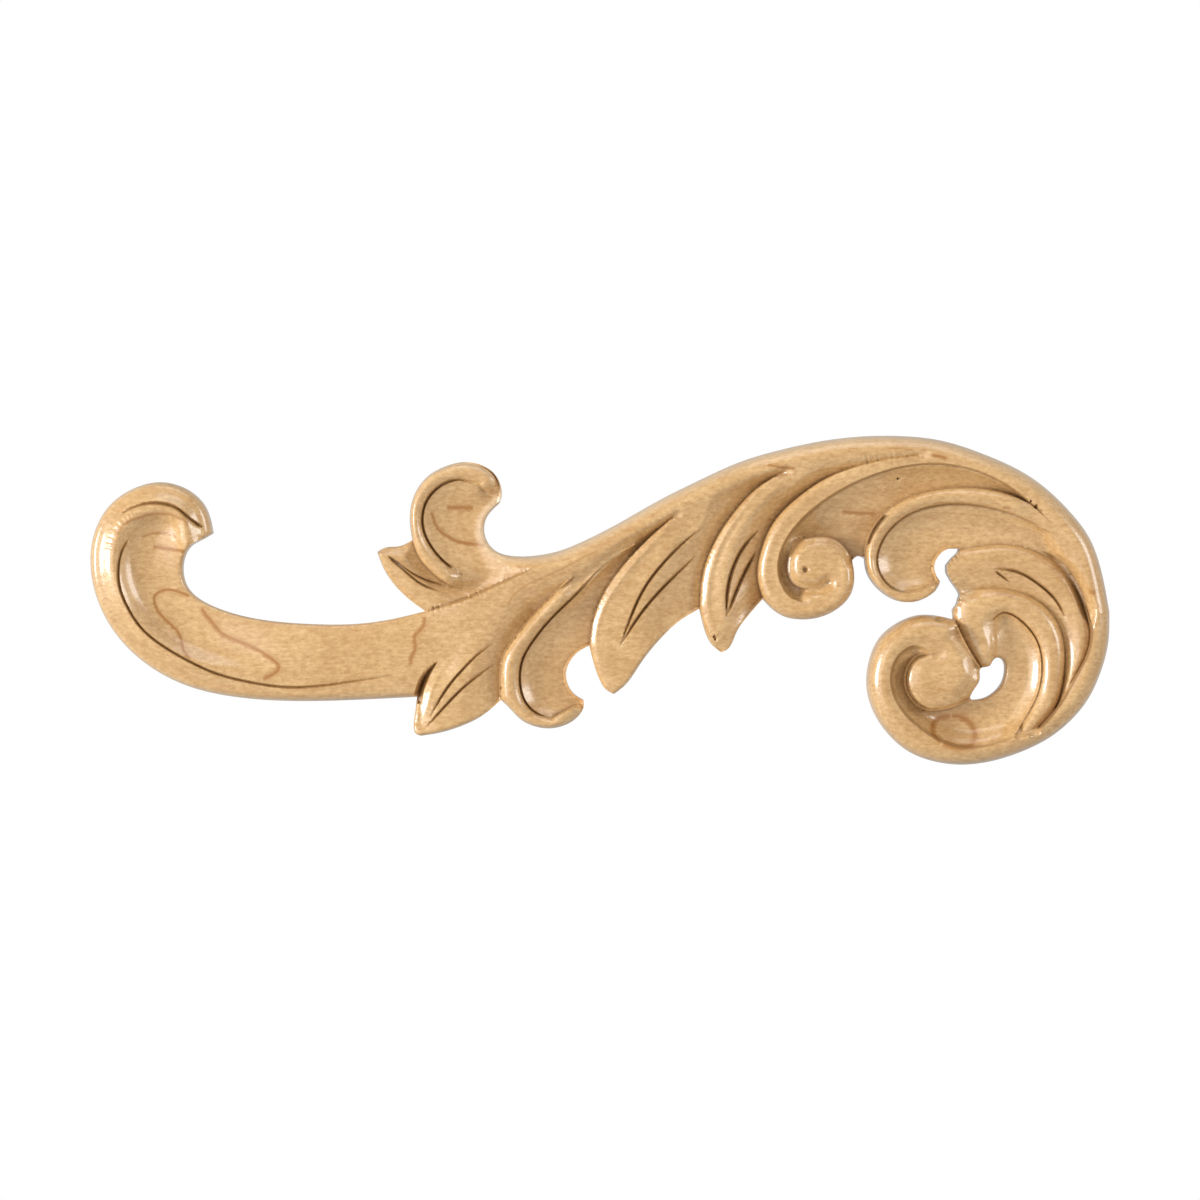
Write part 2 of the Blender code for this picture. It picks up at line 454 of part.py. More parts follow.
def relief(points):
    """Height of the carving over the flat back, in millimetres, at points of the drawing."""
    blank = swell(points)
    height = blank.copy()
    for layer in LAYERS:
        paint(height, points, blank, layer)
    for name, half_width, depth, enters, leaves in CUTS:
        distance, along = nearest(points, LINES[name])
        grip = smooth(along / max(enters, 1e-3)) * smooth((1 - along) / max(leaves, 1e-3))
        grip = np.sqrt(grip)
        cut = np.clip(1 - distance / np.maximum(half_width * grip, 1e-6), 0, 1)
        height -= depth * grip * cut
    edge = np.minimum(nearest(points, RIM)[0], nearest(points, WINDOW_RIM)[0]) / EDGE_REACH
    height -= EDGE_DROP * (1 - np.sqrt(1 - np.clip(1 - edge, 0, 1) ** 2))
    return np.clip(height, LEAST_EDGE, THICKNESS / MM)


def inside_wood(points):
    return within(points, RIM) & ~within(points, WINDOW_RIM)


def to_edge(points):
    """Distance to the sawn outline or the window's rim."""
    return np.minimum(nearest(points, RIM)[0], nearest(points, WINDOW_RIM)[0])


def to_point(points, others):
    """Distance from each point to the nearest of the others."""
    found = np.empty(len(points))
    for block in blocks(len(points)):
        square = (points[block] ** 2).sum(1)[:, None] + (others**2).sum(1) - 2 * points[block] @ others.T
        found[block] = np.sqrt(np.maximum(square.min(1), 0))
    return found


def outline_rings():
    """The outline, each stretch evenly stepped so that its corners stay, and the window's rim."""
    stretches = [respaced(LINES[name], OUTLINE_STEP)[:-1] for name in OUTLINE_ORDER]
    return [np.vstack(stretches), respaced(WINDOW_RIM, OUTLINE_STEP)[:-1]]


def crease_rows():
    """Rows of points that the mesh keeps as edges, along each wall and cut and on both sides of it."""
    beside = [(name, WALL) for name in STEPS] + [(name, half_width) for name, half_width, *_ in CUTS]
    rows = [moved(LINES[name], by) for name, away in beside for by in (0, away, -away)]
    kept = []
    for row in rows:
        row = respaced(row, CREASE_STEP)
        held = inside_wood(row) & (to_edge(row) > EDGE_GAP)
        runs = np.split(np.arange(len(row)), np.flatnonzero(np.diff(held.astype(int))) + 1)
        kept += [row[run] for run in runs if held[run[0]] and len(run) > 1]
    return kept


def thinned(points, kept, gap):
    """The points inside the wood that keep clear of those already there, and of each other."""
    free = points[inside_wood(points)]
    free = free[to_point(free, kept) > gap]
    chosen = free[:1]
    for spot in free[1:]:
        if ((chosen - spot) ** 2).sum(1).min() > gap**2:
            chosen = np.vstack([chosen, spot])
    return chosen


def triangles_over(points, edges):
    """Triangles that fill the outline without the window, keeping the edges given."""
    corners = [Vector(point) for point in points.tolist()]
    spots, _, faces, *_ = delaunay_2d_cdt(corners, edges, [], 0, MERGE)
    spots, faces = np.array(spots), np.array(faces)
    faces = faces[inside_wood(spots[faces].mean(1))]
    (ax, ay), (bx, by), (cx, cy) = spots[faces].transpose(1, 2, 0)
    clockwise = (bx - ax) * (cy - ay) < (by - ay) * (cx - ax)
    faces[clockwise] = faces[clockwise][:, ::-1]
    return spots, faces


def front_layout():
    """The front's points and triangles in the drawing's plane."""
    rings = outline_rings()
    points, edges, count = [], [], 0
    for row, closed in [(ring, True) for ring in rings] + [(row, False) for row in crease_rows()]:
        numbers = np.arange(count, count + len(row))
        ends = np.stack([numbers, np.roll(numbers, -1)], 1)
        edges += (ends if closed else ends[:-1]).tolist()
        points.append(row)
        count += len(row)
    for inset in RING_INSETS:
        row = np.vstack([moved(rings[0], -inset), moved(rings[0], inset), moved(rings[1], inset),
                         moved(rings[1], -inset)])
        row = row[inside_wood(row)]
        points.append(thinned(row[to_edge(row) > 0.9 * inset], np.vstack(points), RING_GAP))
    low, high = RIM.min(0), RIM.max(0)
    x, y = np.meshgrid(np.arange(low[0], high[0], GRID_STEP), np.arange(low[1], high[1], GRID_STEP))
    x[1::2] += GRID_STEP / 2
    grid = np.stack([x.ravel(), y.ravel()], 1)
    points.append(thinned(grid, np.vstack(points), GRID_GAP))
    return triangles_over(np.vstack(points), edges)


def rim_edges(faces):
    """The edges that only one triangle has, each in the direction that its triangle runs it."""
    edges = np.concatenate([faces[:, [0, 1]], faces[:, [1, 2]], faces[:, [2, 0]]])
    _, index, count = np.unique(np.sort(edges, axis=1), axis=0, return_inverse=True, return_counts=True)
    return edges[count[index.reshape(-1)] == 1]


def carved_solid():
    """Vertices in metres and triangles of the closed solid: carved front, sawn walls and flat back."""
    spots, faces = front_layout()
    used = np.unique(faces)
    spots, faces = spots[used], np.searchsorted(used, faces)
    edges = rim_edges(faces)
    rim = np.unique(edges)
    back = np.searchsorted(rim, edges)
    _, back_faces = triangles_over(spots[rim], back.tolist())
    first, second = edges.T
    first_behind, second_behind = back.T + len(spots)
    walls = [np.stack([first, first_behind, second], 1), np.stack([second, first_behind, second_behind], 1)]
    flat = np.vstack([spots, spots[rim]]) * SQUARE
    height = np.append(relief(spots) * MM, np.zeros(len(rim)))
    vertices = np.stack([flat[:, 0], -height, flat[:, 1]], 1)
    return vertices, np.vstack([faces, *walls, back_faces[:, ::-1] + len(spots)])


def wood():
    """Pale wood under a satin sealer."""
    material = bpy.data.materials.new("carved_maple")
    material.use_nodes = True
    shader = material.node_tree.nodes["Principled BSDF"]
    shader.inputs["Base Color"].default_value = WOOD_COLOUR
    shader.inputs["Roughness"].default_value = WOOD_ROUGHNESS
    return material


def main():
    for old in list(bpy.data.objects):
        bpy.data.objects.remove(old, do_unlink=True)
    vertices, faces = carved_solid()
    mesh = bpy.data.meshes.new("acanthus_applique")
    mesh.from_pydata(vertices.tolist(), [], faces.tolist())
    mesh.materials.append(wood())
    applique = bpy.data.objects.new("acanthus_applique", mesh)
    bpy.context.scene.collection.objects.link(applique)


main()
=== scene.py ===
# %% [markdown]
# # A carved acanthus applique
#
# The real object is one piece of pale, close-grained wood. It was sawn to a scrolling outline, carved in
# relief on one side with gouges and a V tool, sanded a little and sealed with a satin finish. It has a flat
# back, so that it can be glued to a drawer front, a door or a panel.
#
# The frame already holds the solid, with the carving cut coarsely. Here the same carving is worked out again
# on a mesh fine enough for the tool's edges, and gets its wood, its light and its camera.

import bpy
import numpy as np
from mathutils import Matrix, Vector
from mathutils.geometry import delaunay_2d_cdt


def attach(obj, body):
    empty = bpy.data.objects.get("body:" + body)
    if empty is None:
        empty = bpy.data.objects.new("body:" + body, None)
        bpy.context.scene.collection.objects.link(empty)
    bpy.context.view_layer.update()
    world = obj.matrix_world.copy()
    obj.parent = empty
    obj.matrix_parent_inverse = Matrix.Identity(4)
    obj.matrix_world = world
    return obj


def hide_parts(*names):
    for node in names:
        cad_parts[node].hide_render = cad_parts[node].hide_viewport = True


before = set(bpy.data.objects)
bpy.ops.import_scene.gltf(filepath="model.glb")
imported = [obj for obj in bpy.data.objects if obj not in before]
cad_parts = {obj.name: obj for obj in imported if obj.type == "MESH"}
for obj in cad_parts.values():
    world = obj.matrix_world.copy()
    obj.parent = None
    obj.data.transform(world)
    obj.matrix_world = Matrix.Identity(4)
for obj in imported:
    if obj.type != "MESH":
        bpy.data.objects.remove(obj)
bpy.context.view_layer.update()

# %% [markdown]
# ## The squared drawing
#
# A carver starts from a full-size drawing on squared paper, and sticks it on the wood. The drawing could be
# an image, but a line of a few points with a smooth curve through them says the same, and can be read,
# measured and moved. Points are counted in squares of a quarter of a millimetre, to the right and down.
# The helper below turns them into squares from the drawing's middle, right and up.

# %% Smooth lines through a few points
DRAWN_LENGTH = 1019.3
SQUARE = 0.255 / DRAWN_LENGTH
DRAWING_WIDTH = 1200
MIDDLE = DRAWING_WIDTH / 2
LINE_STEP = 2.0


def placed(points):
    """Points of the drawing in squares from its middle: right is x - middle, up is middle - y."""
    return (np.array(points, float) - MIDDLE) * (1, -1)


def spline(knots, values, at):
    """Smooth cubic through values at the knots, read at the places given. Its bend changes evenly from knot
    to knot, is zero at both ends, and is solved for so that the slopes meet at every knot."""
    gap = np.diff(knots)
    system = np.eye(len(knots))
    inner = np.arange(1, len(knots) - 1)
    system[inner, inner - 1] = gap[:-1]
    system[inner, inner] = 2 * (gap[:-1] + gap[1:])
    system[inner, inner + 1] = gap[1:]
    slopes = np.diff(values, axis=0) / gap[:, None]
    known = np.zeros_like(values)
    known[1:-1] = 6 * np.diff(slopes, axis=0)
    bend = np.linalg.solve(system, known)
    piece = np.clip(np.searchsorted(knots, at, side="right") - 1, 0, len(knots) - 2)
    width = gap[piece][:, None]
    after = (at - knots[piece])[:, None]
    before = width - after
    curved = (bend[piece] * before**3 + bend[piece + 1] * after**3) / (6 * width)
    from_start = (values[piece] / width - bend[piece] * width / 6) * before
    from_end = (values[piece + 1] / width - bend[piece + 1] * width / 6) * after
    return curved + from_start + from_end


def respaced(line, step):
    """The same line with its points an even step apart along its length, ends kept."""
    run = np.append(0, np.cumsum(np.linalg.norm(np.diff(line, axis=0), axis=1)))
    count = max(2, round(run[-1] / step) + 1)
    at = np.linspace(0, run[-1], count)
    return np.stack([np.interp(at, run, line[:, 0]), np.interp(at, run, line[:, 1])], 1)


def drawn(points, curved=True):
    """A line through points of the drawing: a smooth curve over the length run so far, or straight runs."""
    points = placed(points)
    if curved and len(points) > 2:
        run = np.append(0, np.cumsum(np.linalg.norm(np.diff(points, axis=0), axis=1)))
        points = spline(run, points, np.linspace(0, run[-1], max(8, round(run[-1] / LINE_STEP))))
    return respaced(points, LINE_STEP)


print("one square in millimetres:", round(1000 * SQUARE, 4))

# %% [markdown]
# ## The sawn outline
#
# The outline runs once round: up the hooked stem, along the leaves, round the volute and back along the high
# curve. Each stretch between two corners is a curve of its own, so that the corners stay sharp and the rest
# stays smooth. The edge inside the volute has splintered off. It stays as it broke, straight from point to
# point. A small window is cut right through beside the volute's eye.

# %% Outline, broken edge and window
OUTLINE = {
    "hook_back": [(212, 533), (204, 506), (184, 488), (160, 482), (135, 487.5), (108, 506.5), (92.5, 537),
                  (90.5, 573), (101, 610), (120, 640), (150, 667), (190, 687), (230, 696.3), (290, 701),
                  (370, 699.3), (416.5, 697)],
    "first_leaf_side": [(416.5, 697), (415.5, 711), (413.8, 725), (416, 733.5), (421, 735.7)],
    "first_leaf_under": [(421, 735.7), (440, 732.6), (460, 726.5), (480, 717), (501, 699.8)],
    "lower_scroll_under": [(501, 699.8), (510, 708.5), (520, 718.7), (534, 726), (550, 728.3), (565, 725),
                           (577.6, 716.8), (583.7, 706), (583.3, 700)],
    "lower_scroll_mouth": [(583.3, 700), (574.4, 694.4), (567, 682.5), (566, 672), (569.6, 662),
                           (579.5, 650.8), (589.3, 645.5)],
    "second_leaf_side": [(589.3, 645.5), (594, 664), (600, 680.5), (606, 689.5), (613.8, 694)],
    "second_leaf_under": [(613.8, 694), (623.4, 686.7), (640, 664.3), (660, 639), (680, 620.3),
                          (699.5, 608.5)],
    "third_leaf_side": [(699.5, 608.5), (704.4, 628.4), (712, 644.5), (721.4, 652.3)],
    "third_leaf_under": [(721.4, 652.3), (727, 649.5), (735.4, 634.3), (746, 617.8), (762.7, 598.7)],
    "coil_under": [(762.7, 598.7), (774.2, 610.2), (786, 617), (800, 619.4), (820, 617), (838, 608),
                   (850.4, 594), (853.8, 577), (851.7, 560.2)],
    "coil_notch": [(851.7, 560.2), (859, 555.9), (864.9, 558.5)],
    "upper_scroll_under": [(864.9, 558.5), (866.8, 571), (874.3, 584.3), (886, 595), (900, 601.3),
                           (916, 601.2), (930, 594.6), (938.7, 585), (939.7, 581)],
    "upper_scroll_mouth": [(939.7, 581), (934.8, 573.5), (933.6, 566), (936.7, 557.7), (945.4, 549.8),
                           (959.3, 548.8)],
    "volute_side": [(953.3, 619.5), (940, 616.3), (920, 615.1), (900, 622), (880, 638.5), (869.6, 662.5),
                    (867.4, 686), (876, 715.4), (890, 735.4), (910, 752.2), (933, 761.1), (960, 764.6),
                    (990, 761.4), (1020, 752.2), (1050, 737.2), (1070, 721), (1088, 699), (1100, 673.5),
                    (1108, 643.5), (1109.3, 612)],
    "back_curve": [(1109.3, 612), (1101, 570), (1089, 537.5), (1070, 512), (1030, 476.7), (985, 454.7),
                   (940, 440.4), (900, 436.1), (860, 436.6), (820, 441.4), (780, 450), (740, 462),
                   (700, 479.9), (660, 499.8), (620, 522.5), (580, 542.7), (560, 550.6), (540, 555),
                   (513, 556), (494, 549.8), (484.5, 535.3), (485.6, 518.7), (499, 503)],
    "top_scroll_back": [(499, 503), (501.3, 495), (500.6, 486), (495.5, 475), (485.7, 467.1), (475, 463.2),
                        (460, 462.5), (445, 466.6), (430, 474.4), (420, 484.6), (412.6, 498.7),
                        (409.6, 520.6), (412, 540)],
    "small_leaf_top": [(412, 540), (399, 546.2), (384.6, 547.7), (377, 552)],
    "small_leaf_under": [(377, 552), (384, 569.4), (400, 590.8), (410.5, 600.3), (425.5, 611.2)],
    "stem_top": [(425.5, 611.2), (385, 620.4), (350, 624.3), (310, 624.1), (270, 621), (235, 614.3),
                 (210, 605.4), (195.4, 596.9), (186, 586.4), (181.8, 570), (183.3, 557.7), (190.2, 545.8),
                 (200.5, 539.7), (212, 533)],
}
BROKEN_EDGE = [(959.3, 548.8), (957.8, 552.8), (951.5, 558.5), (946.3, 565), (946.5, 572.6), (951, 580.8),
               (957.7, 590), (960, 594.5), (958.2, 599.2), (957, 604.5), (953, 609.5), (954.1, 617.2),
               (953.3, 619.5)]
WINDOW = [(979.8, 668.5), (989.5, 665.8), (995, 658.3), (1002, 658.7), (1005.7, 670), (1001, 685.5),
          (989.8, 696), (975, 700), (970, 699), (970.6, 694.7), (975.4, 686.5), (979.4, 677)]
print("stretches of outline:", len(OUTLINE))

# %% [markdown]
# ## The lines of the carving
#
# Inside the outline the drawing shows where a leaf lies over another, where the V tool runs, and where a
# hollow ends. Every line has a name that says what it is, because the layers and cuts further down refer to
# the lines by name.

# %% Carving lines
CARVING = {
    "hook_groove": [(130, 537), (122.7, 549.6), (119, 568), (120, 585), (129.6, 609.5), (142.5, 628.3),
                    (160, 643.3), (190, 661.2), (220, 674.4), (250, 682), (286, 687), (340, 683.4),
                    (413.5, 671.8)],
    "hook_lip": [(114.6, 519.6), (132, 508.7), (149, 503.8), (166.5, 504.3), (178, 508.7), (189.6, 518.5),
                 (202.3, 527.7)],
    "top_scroll_groove": [(477.8, 484.7), (465, 480.5), (450, 481.4), (436.4, 489), (426.6, 501.2),
                          (422.4, 516), (424.2, 532.8), (432, 548), (445.5, 563.3), (466.2, 577)],
    "top_scroll_lower_edge": [(412, 540), (418.7, 557.2), (432, 573), (448, 584.6), (462.6, 590)],
    "small_leaf_vein_a": [(387.7, 555.4), (404, 567.5), (423.6, 579), (448, 585.8)],
    "small_leaf_vein_b": [(388.3, 556.6), (406.5, 572.4), (423.6, 585.2), (442, 591.3)],
    "spine_step_low": [(425.5, 611.2), (438, 607.4), (452.8, 603), (470, 597.5)],
    "spine_step_high": [(470, 597.5), (480, 593), (500, 584), (520, 574.8), (545.4, 562)],
    "stem_cut": [(438, 661.5), (428, 673), (421, 687), (416.8, 702)],
    "first_leaf_arris": [(438, 662), (430.3, 676), (423.2, 691.6), (420.4, 710), (419.7, 722)],
    "first_leaf_vein_a": [(430, 717.4), (438.5, 702), (451.3, 682.8), (465.4, 666.8), (480, 652.7),
                          (495.5, 642)],
    "first_leaf_vein_b": [(425.6, 728.3), (439.7, 712.3), (460.3, 690.5), (479.5, 674.5), (496.8, 663)],
    "lower_scroll_edge": [(580.6, 569.5), (568, 581), (539.7, 608.5), (514, 639), (503.8, 655.3),
                          (500.4, 671), (500.4, 685), (501, 699.8)],
    "lower_scroll_groove": [(633.7, 545.2), (610, 560.6), (580, 590), (550, 619.4), (533.3, 640),
                            (521.8, 661), (519.5, 680.3), (523, 698), (534.6, 712.3), (551.3, 718)],
    "second_leaf_edge": [(678, 512.7), (655.8, 531), (623.4, 564.3), (602, 595.3), (591, 629),
                         (589.3, 645.5)],
    "second_leaf_vein_a": [(619.7, 647), (630, 619), (645.5, 586.4), (666, 560), (683.8, 542.2),
                           (707.4, 524.5)],
    "second_leaf_vein_b": [(619.7, 647), (639.6, 615.2), (669.8, 580.5), (699.3, 552.5)],
    "third_leaf_edge": [(788.3, 469.2), (765, 481.7), (736.7, 508.3), (716.5, 537.8), (703, 571.7),
                        (699.5, 608.5)],
    "third_leaf_vein_a": [(726.3, 620.3), (726.3, 601), (734, 564.3), (745.7, 543.7), (760, 528.5)],
    "third_leaf_vein_b": [(726.9, 615.4), (740, 582), (756.5, 551)],
    "coil_edge": [(926, 455), (886, 459.5), (853, 467), (825, 478.3), (800, 495), (773.3, 521.7),
                  (760.8, 550), (757.5, 580.8), (762.7, 598.7)],
    "coil_groove": [(1052, 525), (1020, 496), (980.6, 473.7), (934, 464.8), (880, 473.5), (830, 497),
                    (793.5, 529), (779.4, 556.6), (780, 580.8), (788, 594.6), (808.8, 605)],
    "coil_eye_side": [(827, 583), (820, 588.3), (807.7, 589), (793.8, 584.2), (787, 569), (791.5, 547.3)],
    "coil_eye_top": [(791.5, 547.3), (798, 541.5), (810, 538), (829.6, 538), (842.3, 545.6),
                     (851.7, 560.2)],
    "upper_scroll_edge": [(1040, 511), (1010, 496), (960, 488.2), (910, 497), (877.4, 521), (865.3, 549),
                          (864.9, 558.5)],
    "upper_scroll_groove": [(1056, 537), (1020, 518.3), (980.6, 506.6), (940, 505.3), (900, 519.9),
                            (880.8, 542.5), (876.2, 562.3), (880.3, 576.2), (895, 590), (920.8, 590)],
    "inner_leaf_edge": [(959.3, 548.8), (980, 546), (1000, 544), (1030, 549), (1059, 566.2),
                        (1078.6, 592.4), (1091, 629)],
    "rim_cut": [(1040, 550), (1062, 563), (1077, 584), (1086, 607), (1091, 629)],
    "inner_leaf_vein_a": [(992, 568.6), (1017.7, 572.3), (1037, 583.2), (1056.7, 602), (1066.4, 620)],
    "inner_leaf_vein_b": [(994.6, 571), (1011, 583.2)],
    "band_edge": [(970, 590), (1000, 588.4), (1026, 594.8), (1050, 612), (1062.8, 637.4), (1064.6, 668),
                  (1055.5, 707.4), (1034.7, 732.7)],
    "rim_foot": [(1091, 629), (1090, 643.4), (1075, 677.6), (1055, 710.5), (1034.7, 732.7)],
    "basin_edge": [(989.7, 623.4), (1002, 613), (1023.8, 623.4), (1038.4, 644.7), (1041.8, 671),
                   (1037, 696), (1026, 717), (1013.8, 737)],
    "volute_groove": [(1013.8, 737), (990, 744.2), (960, 746.6), (930, 734.6), (901.7, 709.8),
                      (890.4, 678.5), (900, 653.7), (914.5, 646.2), (928, 650.5)],
    "volute_eye_side": [(933, 653.7), (916, 656), (904, 680), (909.7, 697.8), (924, 709), (940, 709.8),
                        (970, 699)],
    "leaf_end_side": [(953.3, 619.5), (959.2, 632.6), (969.6, 652), (979.8, 668.5)],
    "leaf_end_flute": [(989.7, 623.4), (993.5, 638), (992, 658)],
}
print("carving lines:", len(CARVING))

# %% [markdown]
# ## Joining and closing lines
#
# A leaf's border is made of several drawn lines, some of them run backwards, and of a few loose points where
# the leaf fades out under its neighbour. The helper puts such a border together. The window's rim has no
# corner, so its curve runs one lap and a bit, and one lap is kept.

# %% Put borders together
def drawn_window():
    """The window's rim, closed: the smooth curve runs one lap and a bit, and one lap of it is kept."""
    lap = drawn(WINDOW[-3:] + WINDOW + WINDOW[:3])
    first = np.argmin(np.linalg.norm(lap - placed(WINDOW[0]), axis=1)[: len(lap) // 2])
    gaps = np.linalg.norm(lap - lap[first], axis=1)
    gaps[: first + 10] = np.inf
    return np.vstack([lap[first : np.argmin(gaps)], lap[first]])


LINES = {name: drawn(points) for name, points in (OUTLINE | CARVING).items()}
LINES["broken_edge"] = drawn(BROKEN_EDGE, curved=False)
LINES["window_side"] = drawn([(970.6, 694.7), (975.4, 686.5), (979.4, 677), (979.8, 668.5)])
LINES["leaf_end_tip"] = drawn([(979.8, 668.5), (989.5, 666)])
OUTLINE_ORDER = [*OUTLINE]
OUTLINE_ORDER.insert(OUTLINE_ORDER.index("volute_side"), "broken_edge")


def moved(line, by):
    """A line moved sideways: point + by x the unit normal on the left as it runs. A minus moves it right."""
    along = np.gradient(line, axis=0)
    along /= np.maximum(np.linalg.norm(along, axis=1), 1e-9)[:, None]
    return line + by * along[:, ::-1] * (-1, 1)


def piece_of(part):
    """One stretch of a joined line: a named line, one turned round by a minus sign, or a loose point."""
    if isinstance(part, tuple):
        return placed([part])
    return LINES[part[1:]][::-1] if part.startswith("-") else LINES[part]


def joined(*parts, closed=False):
    """Stretches end to end, with straight runs between those that don't meet."""
    pieces = [piece_of(part) for part in parts]
    if closed:
        pieces.append(pieces[0][:1])
    line = pieces[:1]
    for before, after in zip(pieces, pieces[1:]):
        line += [respaced(np.stack([before[-1], after[0]]), LINE_STEP)[1:-1], after]
    return np.vstack(line)


TUCK = 4.0  # how far a leaf runs on under its neighbour
for name in ("second_leaf", "third_leaf", "coil"):
    LINES[name + "_tuck"] = moved(LINES[name + "_edge"], TUCK)
RIM = joined(*OUTLINE_ORDER)
WINDOW_RIM = drawn_window()
print("outline length in millimetres:",
      round(1000 * SQUARE * np.linalg.norm(np.diff(RIM, axis=0), axis=1).sum()))

# %% [markdown]
# ## Measuring against a line
#
# All the carving comes from two questions: how far is this point from that line, and is it inside that
# border. Blender could answer them with one ray after another, but whole arrays in numpy answer them for a
# hundred thousand points at once.

# %% Distance, share along, and inside or outside
BLOCK = 3000


def blocks(count):
    """Index runs short enough to compare with a whole line at once."""
    return np.array_split(np.arange(count), count // BLOCK + 1)


def nearest(points, line):
    """Distance from each point to a line, and the share of the line's length where it is nearest: the
    nearest corner first, then the point's foot on the two straight pieces that meet there."""
    start, run = line[:-1], np.diff(line, axis=0)
    length = np.maximum(np.linalg.norm(run, axis=1), 1e-9)
    before = np.append(0, np.cumsum(length))
    corner = np.empty(len(points), int)
    for block in blocks(len(points)):
        corner[block] = ((line**2).sum(1) - 2 * points[block] @ line.T).argmin(1)
    distance, share = np.full(len(points), np.inf), np.zeros(len(points))
    for shift in (-1, 0):
        piece = np.clip(corner + shift, 0, len(run) - 1)
        away = points - start[piece]
        along = np.clip((away * run[piece]).sum(1) / length[piece] ** 2, 0, 1)
        gap = np.linalg.norm(away - along[:, None] * run[piece], axis=1)
        better = gap < distance
        distance[better] = gap[better]
        share[better] = ((before[piece] + along * length[piece]) / before[-1])[better]
    return distance, share


def within(points, loop):
    """Which points lie inside a closed loop: those with an odd number of its crossings to their right."""
    x, y = loop.T
    next_x, next_y = np.roll(x, -1), np.roll(y, -1)
    rise = np.where(next_y == y, 1e-12, next_y - y)
    near = np.flatnonzero(((points > loop.min(0)) & (points < loop.max(0))).all(1))
    odd = np.zeros(len(points), bool)
    for block in blocks(len(near)):
        px, py = points[near[block], 0, None], points[near[block], 1, None]
        spans = (y > py) != (next_y > py)
        odd[near[block]] = (spans & (px < x + (py - y) * (next_x - x) / rise)).sum(1) % 2 == 1
    return odd


def section(rows, at):
    """A section's height at each place, by a smooth curve through its stations."""
    stations, heights = np.array(rows, float).T
    return spline(stations, heights[:, None], np.clip(at, stations[0], stations[-1]))[:, 0]


def smooth(share):
    """0 below 0, 1 above 1, and share x share x (3 - 2 x share) between."""
    share = np.clip(share, 0, 1)
    return share * share * (3 - 2 * share)


print("the middle of the back lies in the wood:", bool(within(np.zeros((1, 2)), RIM)[0]))

# %% [markdown]
# ## The blank's swell
#
# Before any leaf is cut, the carver rounds the blank. It stands high along the back of the curve, falls away
# into the body, and sinks towards the hooked stem. A section is a short list of heights at distances from
# the outline, with a smooth curve through them, as a template held against the wood would show.

# %% Height of the blank
BLANK_SECTION = [(0, 8.4), (3, 10.4), (8, 12.0), (13, 12.6), (22, 12.3), (40, 11.4), (60, 10.8), (110, 9.9),
                 (180, 9.4), (420, 9.2)]
HOOK_SECTION = [(0, 6.2), (2, 7.1), (10, 8.35), (17, 9.5), (19.5, 9.9), (24, 10.3), (29, 9.9), (36, 8.4),
                (44, 7.3), (52, 6.9), (100, 6.9)]
STEM_SECTION = [(0, 6.4), (3, 7.9), (8, 8.8), (16, 9.4), (24, 9.5), (40, 9.4), (60, 9.1), (80, 8.6),
                (140, 8.2)]
STEM_BEGINS = (185, 540)
STEM_GROWS = 110
STEM_ENDS = (395, 470)
BODY_SINKS = (600, 430, 1.2)  # from this far right to this far left, by this many mm


def swell(points):
    """The blank's own height: the section over the distance from the back curve and the volute, less what the
    body sinks, and left of the stem's end the hook's and the stem's sections, blended along the stem."""
    back = joined("volute_side", "back_curve")
    height = section(BLANK_SECTION, nearest(points, back)[0])
    right, left, sink = BODY_SINKS
    across, down = points[:, 0] + MIDDLE, MIDDLE - points[:, 1]
    height -= sink * smooth((right - across) / (right - left))
    distance = nearest(points, LINES["hook_back"])[0]
    stem = smooth((across - STEM_BEGINS[0]) / STEM_GROWS) * smooth((down - STEM_BEGINS[1]) / STEM_GROWS)
    hook = (1 - stem) * section(HOOK_SECTION, distance) + stem * section(STEM_SECTION, distance)
    body = smooth((across - STEM_ENDS[0]) / (STEM_ENDS[1] - STEM_ENDS[0]))
    return (1 - body) * hook + body * height


print("height of the blank in the middle, in mm:", round(float(swell(np.zeros((1, 2)))[0]), 2))

# %% [markdown]
# ## Leaves and scrolls in layers
#
# The leaves overlap from the volute down to the stem, so they are painted on one over the other, each with
# the border it fills, the line its section starts from and the line it runs to. Where a leaf stands over the
# one below there is a steep wall. Where it grows out of the body it fades in softly.
#
# loop: the border. near and far: the lines that the section runs between, as shares of the way, or as
# distances from near alone. ground: the height that the section is counted from, or the blank's own. open:
# the border's soft side, with blend for how far it fades. ends: shares of near over which the layer comes
# and goes. grows: the share over which a leaf's rise grows. shoulders: lines beside which the layer sinks,
# how far from them, and by how many millimetres.

